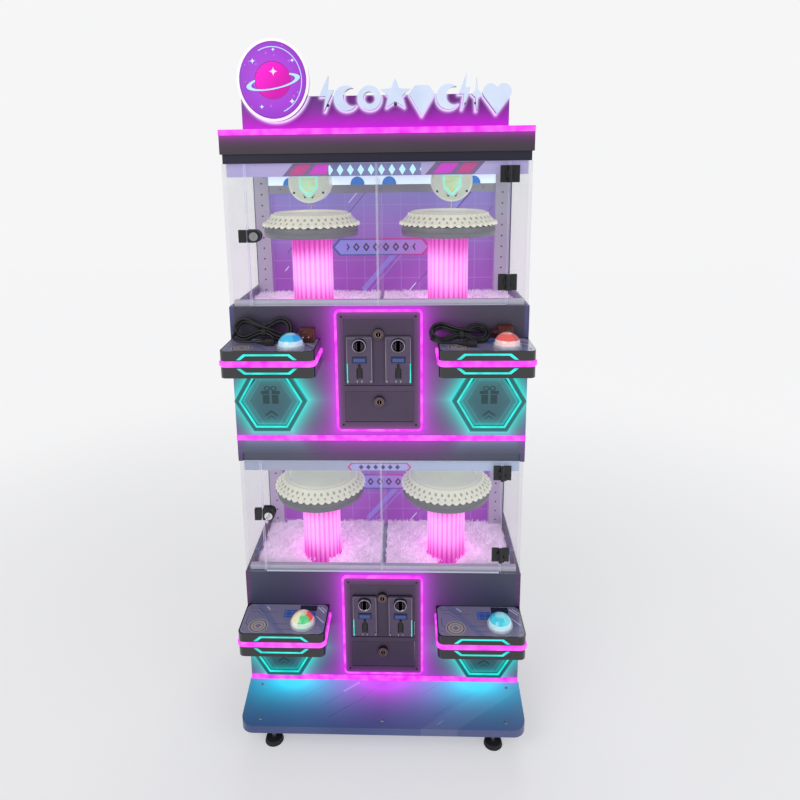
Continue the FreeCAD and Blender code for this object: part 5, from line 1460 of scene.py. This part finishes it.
def turntable_pieces():
    cream = Shade("disc_cream", (0.88, 0.87, 0.74), 0.3, slot="turntable_plastic")
    tray_shade = enamel("tray_grey", (0.22, 0.22, 0.25), "turntable_plastic", 0.38)
    angle_left = cream.math("ARCTAN2", cream.y - TABLE_Y, mirrored_x(cream) - TABLE_X)
    radius = cream.length(mirrored_x(cream) - TABLE_X, cream.y - TABLE_Y)
    petals = 40
    turn = (angle_left * (petals / (2 * math.pi)) + 0.5)._do("FRACT") - 0.5
    # painted shade: darker spots stand in for the lace's holes, which are not cut, and darker rings for
    # its two grooves
    hole = cream.length(turn * (1 / 0.20), (radius - 0.1155) * (1 / 0.0034)).below(1.0)
    hole_two = cream.length((abs(turn) - 0.5) * (1 / 0.14), (radius - 0.1245) * (1 / 0.0026)).below(1.0)
    groove = abs(radius - 0.104).below(0.0009).larger(abs(radius - 0.093).below(0.0006))
    lace = cream.paint((cream.noise(9.0, 3.0).ramp(0.4, 0.7), (0.82, 0.82, 0.70)),
                       (hole.larger(hole_two), (0.46, 0.44, 0.36)), (groove * 0.5, (0.50, 0.48, 0.40)))
    # painted light: the discs glow faintly with their own colour
    cream.glow(lace, 0.28)
    cream.set("Roughness", cream.noise(18.0, 3.0) * 0.14 + 0.22)
    cream.relief(cream.noise(260.0, 2.0), 0.0001)
    for tier, side, sign, place in places():
        cx, top = TABLE_X * sign, TABLE_TOP[tier]
        form = Mass()
        rows = [(0.060, -0.0042), (0.090, -0.0040), (0.0915, -0.0008), (0.0945, 0.0),
                (0.099, -0.0006), (0.1035, -0.0042), (0.108, -0.0072), (0.1135, -0.0136),
                (0.119, -0.0195), (0.1245, -0.0255), (0.130, -0.0308), (0.1348, -0.0350),
                (0.1330, -0.0372), (0.1230, -0.0275), (0.1020, -0.0080), (0.0900, -0.0065),
                (0.030, -0.0065)]

        def scalloped(r, z):
            share = max(0.0, (r - 0.103) / 0.032)

            def point(a):
                wave = abs(math.cos(petals * a / 2))
                return r + share * 0.0042 * (wave - 1.0), top + (z + share * 0.0052 * (1.0 - wave))

            return point

        rings = [form.ring((cx, TABLE_Y), 320, scalloped(r, z)) for r, z in rows]
        form.faces.append(tuple(rings[0]))
        for first, second in zip(rings, rings[1:]):
            form.bridge(second, first)
        form.faces.append(tuple(reversed(rings[-1])))
        for k in range(petals):
            a = 2 * math.pi * k / petals
            for r, z, size in ((0.1308, -0.0305, 0.0027), (0.1085, -0.0072, 0.0021)):
                centre = Vector((cx + r * math.cos(a), TABLE_Y + r * math.sin(a), top + z))
                form.lathe([(size, -size * 0.3), (size * 0.86, size * 0.45), (size * 0.45, size * 0.85),
                            (0.0, size)], centre, (0.55 * math.cos(a), 0.55 * math.sin(a), 0.83), 8)
        for k in range(96):
            a = 2 * math.pi * k / 96
            centre = Vector((cx + 0.0965 * math.cos(a), TABLE_Y + 0.0965 * math.sin(a), top - 0.0022))
            form.lathe([(0.0017, 0.0), (0.0013, 0.0012), (0.0, 0.0019)], centre, (0, 0, 1), 6)
        disc = form.make("turntable_disc_" + place, cream, "turntable_body_" + place)
        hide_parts("turntable_" + place)
        low = top - DISC_HIGH
        tray_low = low - TRAY_HIGH
        tray = Mass()
        tray.lathe([(0.0, tray_low), (0.120, tray_low), (0.1262, tray_low + 0.0012),
                    (0.128, tray_low + 0.0042),
                    (0.128, low - 0.0022), (0.1270, low - 0.0008), (0.1235, low - 0.0008),
                    (0.1222, low - 0.002),
                    (0.122, tray_low + 0.006), (0.018, tray_low + 0.006), (0.018, top - 0.0068),
                    (0.0, top - 0.0068)], (cx, TABLE_Y, 0.0), (0, 0, 1), 96)
        tray.lathe([(0.1286, tray_low + 0.0125), (0.1292, tray_low + 0.0135),
                    (0.1286, tray_low + 0.0145)],
                   (cx, TABLE_Y, 0.0), (0, 0, 1), 96)
        for k in range(12):
            a = 2 * math.pi * (k + 0.5) / 12
            tray.lathe([(0.0026, 0.0), (0.0024, 0.0009), (0.0012, 0.0012), (0.0, 0.0009)],
                       (cx + 0.1279 * math.cos(a), TABLE_Y + 0.1279 * math.sin(a), tray_low + 0.020),
                       (math.cos(a), math.sin(a), 0), 10)
        tray.make("turntable_tray_" + place, tray_shade, "turntable_body_" + place)
        shaft = Mass()
        shaft_low = DECK[tier] - 0.003 - 0.018
        shaft.lathe([(0.0, shaft_low), (0.0055, shaft_low), (0.006, shaft_low + 0.001),
                     (0.006, tray_low - 0.004),
                     (0.011, tray_low - 0.004), (0.011, tray_low), (0.0, tray_low)],
                    (cx, TABLE_Y, 0.0), (0, 0, 1), 32)
        shaft.make("turntable_shaft_" + place,
                   metal("shaft_steel_" + place, (0.62, 0.62, 0.65), 0.28, (1, 1, 0.1), "motor_steel"),
                   "turntable_body_" + place)


def column_pieces():
    """Lit columns: fluted diffusers with the lamp's glow strongest half-way up."""
    for tier, side, sign, place in places():
        low = DECK[tier] + 0.0002
        high = TABLE_TOP[tier] - DISC_HIGH - TRAY_HIGH - 0.005
        cx = TABLE_X * sign
        shade = Shade("column_glow_" + place, (0.40, 0.10, 0.34), 0.35, slot="column_light")
        angle = shade.math("ARCTAN2", shade.y - TABLE_Y, shade.x - cx)
        flute = (angle * (FLUTES / (2 * math.pi)))._do("FRACT")
        ridge = abs(flute - 0.5).ramp(0.16, 0.46)
        height = (shade.z - low) * (1 / (high - low))
        middle = height.ramp(0.0, 0.45) * height.ramp(1.0, 0.62)
        hot = shade.noise(9.0, 1.0, (1.0, 1.0, 1.0)).ramp(0.3, 0.7)
        facing = shade.node("ShaderNodeLayerWeight")
        facing.inputs["Blend"].default_value = 0.45
        rim = Value(shade, facing.outputs["Facing"])
        core = middle * 0.80 + hot * 0.24 - ridge * 0.26 - rim * 0.30
        colour = shade.mix(core.clamped(), (0.72, 0.01, 0.48), (1.0, 0.38, 0.92))
        shade.set("Base Color", shade.mix(ridge, (0.40, 0.10, 0.34), (0.24, 0.02, 0.20)))
        shade.glow(colour, 1.0)
        shade.set("Emission Strength", middle * 0.42 + 0.80 - ridge * 0.14)
        shade.relief(shade.noise(200.0, 2.0, (1, 1, 0.05)), 0.0002)
        form = Mass()
        def fluted(z, grow):
            return lambda a: (0.0536 + 0.0022 * abs(math.sin(FLUTES * a / 2)) + grow, z)

        def plain(z, r):
            return lambda a: (r, z)

        shapes = [fluted(*p) for p in ((low, 0.0), (low + 0.0012, 0.0), (low + 0.010, 0.0),
                                       ((low + high) / 2, 0.0), (high - 0.006, 0.0),
                                       (high - 0.001, -0.0004), (high, -0.0018))]
        shapes += [plain(*p) for p in ((high, 0.0066), (high - 0.003, 0.0066), (high - 0.003, 0.0505),
                                       (low, 0.0505))]
        rings = [form.ring((cx, TABLE_Y), FLUTES * 10, shape) for shape in shapes]
        for first, second in zip(rings, rings[1:] + rings[:1]):
            form.bridge(first, second)
        form.make("glow_column_" + place, shade, "cabinet")
    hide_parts("glow_columns")


turntable_pieces()
column_pieces()


# ------------------------------------------------------------------ trim
def screw(form, centre, axis, radius=0.004, height=0.0018):
    form.lathe([(radius, 0.0), (radius, height * 0.3), (radius * 0.86, height * 0.75),
                (radius * 0.5, height),
                (radius * 0.42, height), (radius * 0.34, height * 0.35), (0.0, height * 0.35)],
               centre, axis, 14)


def clip_faces():
    """Lit shield on each clip head, with its slots and screws."""
    lit = Shade("shield_rim_lit", (0.20, 0.62, 0.55), 0.3, slot="cream_plastic")
    lit.glow(lit.mix(lit.noise(40.0, 2.0), (0.16, 0.72, 0.62), (0.40, 0.92, 0.80)), 0.75)
    lit.relief(lit.noise(300.0, 2.0), 0.0001)
    inner = Shade("shield_face_lit", (0.55, 0.62, 0.34), 0.3, slot="cream_plastic")
    level = inner.noise(60.0, 2.0, (0.4, 1.0, 1.6))
    inner.glow(inner.mix(level.ramp(0.35, 0.65), (0.50, 0.60, 0.28), (0.42, 0.85, 0.66)), 0.62)
    inner.relief(level, 0.0002)
    dark = moulded("head_slot_dark", (0.02, 0.035, 0.035), 0.5, "black_fittings")
    steel = metal("screw_dark", (0.10, 0.12, 0.13), 0.3, (1, 1, 1), "motor_steel")
    for tier, side, sign, place in places():
        x, z = sign * HEAD_X, SILL[tier]
        outer = [(-0.0255, 0.332), (-0.0255, 0.2985), (-0.0035, 0.2745), (0.0035, 0.2745),
                 (0.0255, 0.2985),
                 (0.0255, 0.332)]
        hole = [(-0.0205, 0.328), (-0.0205, 0.3005), (0.0, 0.2805), (0.0205, 0.3005), (0.0205, 0.328)]
        form = Mass()
        form.plate([(x + u, z + v) for u, v in outer], HEAD_FRONT - 0.0022, HEAD_FRONT + 0.0005, 0.0008)
        form.make("clip_shield_" + place, lit, "cabinet")
        form = Mass()
        form.plate([(x + u, z + v) for u, v in hole], HEAD_FRONT - 0.0034, HEAD_FRONT - 0.0015, 0.0005)
        form.plate([(x + u, z + v) for u, v in [(-0.0085, 0.2995), (0.0, 0.2905), (0.0085, 0.2995)]],
                   HEAD_FRONT - 0.0044, HEAD_FRONT - 0.003, 0.0003)
        form.make("clip_shield_face_" + place, inner, "cabinet")
        form = Mass()
        for turn in (-1, 1):
            form.plate([(x + turn * u, z + v) for u, v in
                        [(0.0065, 0.2715), (0.0135, 0.2765), (0.0165, 0.2825), (0.0150, 0.2775),
                         (0.0115, 0.2695)]],
                       HEAD_FRONT - 0.0009, HEAD_FRONT + 0.0003)
        form.make("clip_slots_" + place, dark, "cabinet")
        form = Mass()
        for turn in (-1, 1):
            screw(form, (x + turn * 0.0415, HEAD_FRONT - 0.0001, z + 0.285), (0, -1, 0), 0.0034, 0.0014)
        form.make("clip_screws_" + place, steel, "cabinet")


def acceptor_trim():
    """Dial rings and ribs, chrome edges, black lever, tabs and lit side bars of the acceptors."""
    chrome = metal("dial_chrome", (0.34, 0.32, 0.38), 0.16, (1, 1, 1), "acceptor_metal")
    dark = metal("dial_ribs", (0.09, 0.07, 0.10), 0.25, (1, 1, 0.2), "acceptor_metal")
    black = moulded("lever_black", (0.010, 0.010, 0.014), 0.25, "console_black")
    lit = light_shade("side_bar_cyan", CYAN, CYAN_CORE, 1.1, "cyan_light")
    screen = Shade("display_glass", (0.03, 0.05, 0.16), 0.12, slot="return_plastic")
    plate_y = FRONT - 0.012
    dial_y = FRONT - 0.017
    for tier, side, sign, place in places():
        low = ACCEPTORS[tier][0].z
        body = tier + "_coin_door_body"
        x = sign * 0.051
        dial_z = low + 0.103
        form = Mass()
        form.lathe([(0.0148, 0.0), (0.0148, 0.0012), (0.0158, 0.0022), (0.0180, 0.0024), (0.0190, 0.0014),
                    (0.0192, 0.0)], (x, dial_y - 0.0001, dial_z), (0, -1, 0), 48)
        for edge in (-0.0325, 0.0325):
            form.box((x + edge - 0.0009, plate_y - 0.0016, low + 0.003),
                     (x + edge + 0.0009, plate_y - 0.0001, low + 0.125), 0.0005)
        form.box((x - 0.0325, plate_y - 0.0016, low + 0.1235),
                 (x + 0.0325, plate_y - 0.0001, low + 0.1250), 0.0005)
        for u in (-0.0062, 0.0062, -0.0300, 0.0300):
            form.box((x + u - 0.0016, plate_y - 0.0026, low + 0.002),
                     (x + u + 0.0016, plate_y - 0.0001, low + 0.0105),
                     0.0006)
        form.make("acceptor_chrome_" + place, chrome, body)
        form = Mass()
        for u in (-0.0105, -0.0062, 0.0062, 0.0105):
            half = math.sqrt(0.0135 ** 2 - u ** 2) - 0.001
            form.box((x + u - 0.0014, dial_y - 0.0017, dial_z - half),
                     (x + u + 0.0014, dial_y - 0.0001, dial_z + half),
                     0.0006)
        form.make("acceptor_ribs_" + place, dark, body)
        form = Mass()
        form.plate([(x + u, low + v) for u, v in
                    [(-0.0035, 0.052), (0.0035, 0.052), (0.0030, 0.044), (0.0062, 0.0405),
                     (0.0062, 0.014),
                     (-0.0062, 0.014), (-0.0062, 0.0405), (-0.0030, 0.044)]],
                   plate_y - 0.0028, plate_y - 0.0001, 0.0007)
        form.make("acceptor_lever_" + place, black, body)
        outer = x + sign * 0.0318
        form = Mass()
        form.box((outer - 0.0013, plate_y - 0.0030, low + 0.0015),
                 (outer + 0.0013, plate_y - 0.0012, low + 0.0545),
                 0.0006)
        form.make("acceptor_side_light_" + place, lit, body)
        block_low, block_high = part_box("coin_return_" + place)
        form = Mass()
        form.box((block_low.x + 0.004, block_low.y - 0.0008, block_low.z + 0.0035),
                 (block_high.x - 0.004, block_low.y + 0.0003, block_high.z - 0.0035), 0.0004)
        form.make("return_insert_" + place, screen, "return_body_" + place)
    u = abs(screen.x) - 0.051
    bars = abs(u.repeat(0.005)).below(0.0011)
    screen.paint((screen.noise(30.0, 2.0) * 0.4, (0.05, 0.09, 0.24)), (bars * 0.5, (0.10, 0.17, 0.40)))
    screen.glow((0.02, 0.05, 0.20), 0.5)


def small_locks():
    """Bezel ring, barrel face and key slot of the coin and cash doors' locks."""
    bronze = metal("lock_bronze", (0.32, 0.20, 0.17), 0.2, (1, 1, 1), "lock_chrome")
    rim = metal("lock_rim", (0.16, 0.13, 0.16), 0.18, (1, 1, 1), "lock_chrome")
    for tier in TIERS:
        for body, z in ((tier + "_coin_door_body", DOOR[tier][1].z - 0.037),
                        (tier + "_cash_door_body", CASH[tier][1].z - 0.027)):
            y = (DOOR if "coin" in body else CASH)[tier][0].y
            form = Mass()
            form.lathe([(0.0098, 0.0), (0.0100, 0.0008), (0.0112, 0.0014), (0.0134, 0.0011),
                        (0.0141, 0.0)],
                       (0, y, z), (0, -1, 0), 40)
            form.make("lock_ring_" + body[:-5], rim, body)
            form = Mass()
            form.lathe([(0.0064, 0.0), (0.0066, 0.0006), (0.0080, 0.0008), (0.0090, 0.0005),
                        (0.0092, 0.0)],
                       (0, y, z), (0, -1, 0), 32)
            form.box((-0.0009, y - 0.0006, z - 0.0042), (0.0009, y - 0.0001, z + 0.0042), 0.0002)
            form.make("lock_face_" + body[:-5], bronze, body)


def screw_set(name, shade, points, axis, radius, height):
    form = Mass()
    for point in points:
        screw(form, point, axis, radius, height)
    form.make(name, shade, "cabinet")


def screws():
    """Screw heads on the step, consoles, rails, hinges, coin plates and rear panel."""
    steel = metal("screw_zinc", (0.45, 0.46, 0.52), 0.28, (1, 1, 1), "motor_steel")
    black = metal("screw_black", (0.03, 0.03, 0.035), 0.35, (1, 1, 1), "black_fittings")
    fall, reach = 0.0305, 0.140
    slope = math.atan2(0.030, reach)
    screw_set("kick_plate_screws", steel,
              [(x, FRONT - back, STEP_TOP - fall * back / reach - 0.0001) for x, back in
               ((-0.355, 0.020), (0.355, 0.020), (-0.340, 0.118), (0.0, 0.118), (0.340, 0.118))],
              (0, -math.sin(slope), math.cos(slope)), 0.0048, 0.0020)
    screw_set("console_screws", steel,
              [(sign * CONSOLE_X + u, FRONT + v, CONSOLE_TOP[tier] - 0.0001)
               for tier, _, sign, _ in places() for u in (-0.106, 0.106) for v in (-0.014, -0.108)],
              (0, 0, 1), 0.0030, 0.0011)
    form = Mass()
    for tier in TIERS:
        for x in (-0.30, -0.15, 0.0, 0.15, 0.30):
            screw(form, (x, WALL_Y - 0.0151, RAIL[tier] + 0.012), (0, -1, 0), 0.0032, 0.0013)
        for x in (-0.30, 0.30):
            screw(form, (x, FRONT + 0.0119, SILL[tier] - 0.020), (0, -1, 0), 0.003, 0.0012)
    form.make("rail_screws", steel, "cabinet")
    screw_set("coin_plate_screws", black,
              [(x, FRONT - 0.0059, z) for tier in TIERS for x in (-0.097, 0.097)
               for z in (PLATE_TOP[tier] - 0.012, PLATE_LOW[tier] + 0.012)], (0, -1, 0), 0.0026, 0.0009)
    low_row, high_row = 0.060, 1.585
    screw_set("rear_panel_screws", steel,
              [(x, 0.2699, z) for x in (-0.372, -0.19, 0.0, 0.19, 0.372)
               for z in (low_row, 0.42, 0.80, 1.18, high_row) if abs(x) > 0.3 or z in (low_row, high_row)],
              (0, 1, 0), 0.0042, 0.0018)
    form = Mass()
    for sign in SIDES.values():
        for y in (-0.10, 0.06, 0.23):
            for z in (low_row, 0.42, 0.82, 1.20):
                screw(form, (sign * 0.3899, y, z), (sign, 0, 0), 0.0038, 0.0015)
    form.make("side_panel_screws", black, "cabinet")


clip_faces()
acceptor_trim()
small_locks()
screws()


# ------------------------------------------------------------------ floor, lights and finish
def lights_and_floor():
    floor_shade = Shade("floor", (0.78, 0.78, 0.78), 0.85)
    away = floor_shade.length(floor_shade.x, floor_shade.y).ramp(0.7, 3.2)
    floor_shade.paint((floor_shade.noise(1.5, 3.0) * 0.5, (0.74, 0.74, 0.75)), (away, (0.02, 0.02, 0.02)))
    floor_shade.set("Specular IOR Level", 0.1)
    floor_shade.glow((0.92, 0.92, 0.93), 1.0)
    floor_shade.set("Emission Strength", away * 0.56 + 0.42)
    mesh = bpy.data.meshes.new("floor")
    mesh.from_pydata([(-9, -9, 0), (9, -9, 0), (9, 9, 0), (-9, 9, 0)], [], [(0, 1, 2, 3)])
    floor = bpy.data.objects.new("floor", mesh)
    bpy.context.scene.collection.objects.link(floor)
    floor.data.materials.append(floor_shade.material)
    world = bpy.data.worlds.new("world")
    bpy.context.scene.world = world
    world.use_nodes = True
    tree = world.node_tree
    back = tree.nodes["Background"]
    back.inputs[0].default_value = (0.90, 0.92, 0.96, 1.0)
    back.inputs[1].default_value = 0.30
    seen = tree.nodes.new("ShaderNodeBackground")
    seen.inputs[0].default_value = (0.92, 0.92, 0.93, 1.0)
    path = tree.nodes.new("ShaderNodeLightPath")
    either = tree.nodes.new("ShaderNodeMixShader")
    tree.links.new(path.outputs["Is Camera Ray"], either.inputs[0])
    tree.links.new(back.outputs[0], either.inputs[1])
    tree.links.new(seen.outputs[0], either.inputs[2])
    tree.links.new(either.outputs[0], tree.nodes["World Output"].inputs[0])
    for name, place, turn, size, power, tint in (
            ("key", (-1.9, -2.6, 2.9), (52, 0, -36), 2.2, 34.0, (1.0, 0.98, 0.97)),
            ("fill", (2.4, -2.2, 2.0), (62, 0, 48), 2.4, 20.0, (0.95, 0.97, 1.0)),
            ("back", (0.4, 2.6, 2.6), (-58, 0, 8), 2.6, 26.0, (1.0, 1.0, 1.0))):
        data = bpy.data.lights.new(name, "AREA")
        data.size = size
        data.energy = power
        data.color = tint
        light = bpy.data.objects.new(name, data)
        light.location = place
        light.rotation_euler = [math.radians(a) for a in turn]
        bpy.context.scene.collection.objects.link(light)


lights_and_floor()
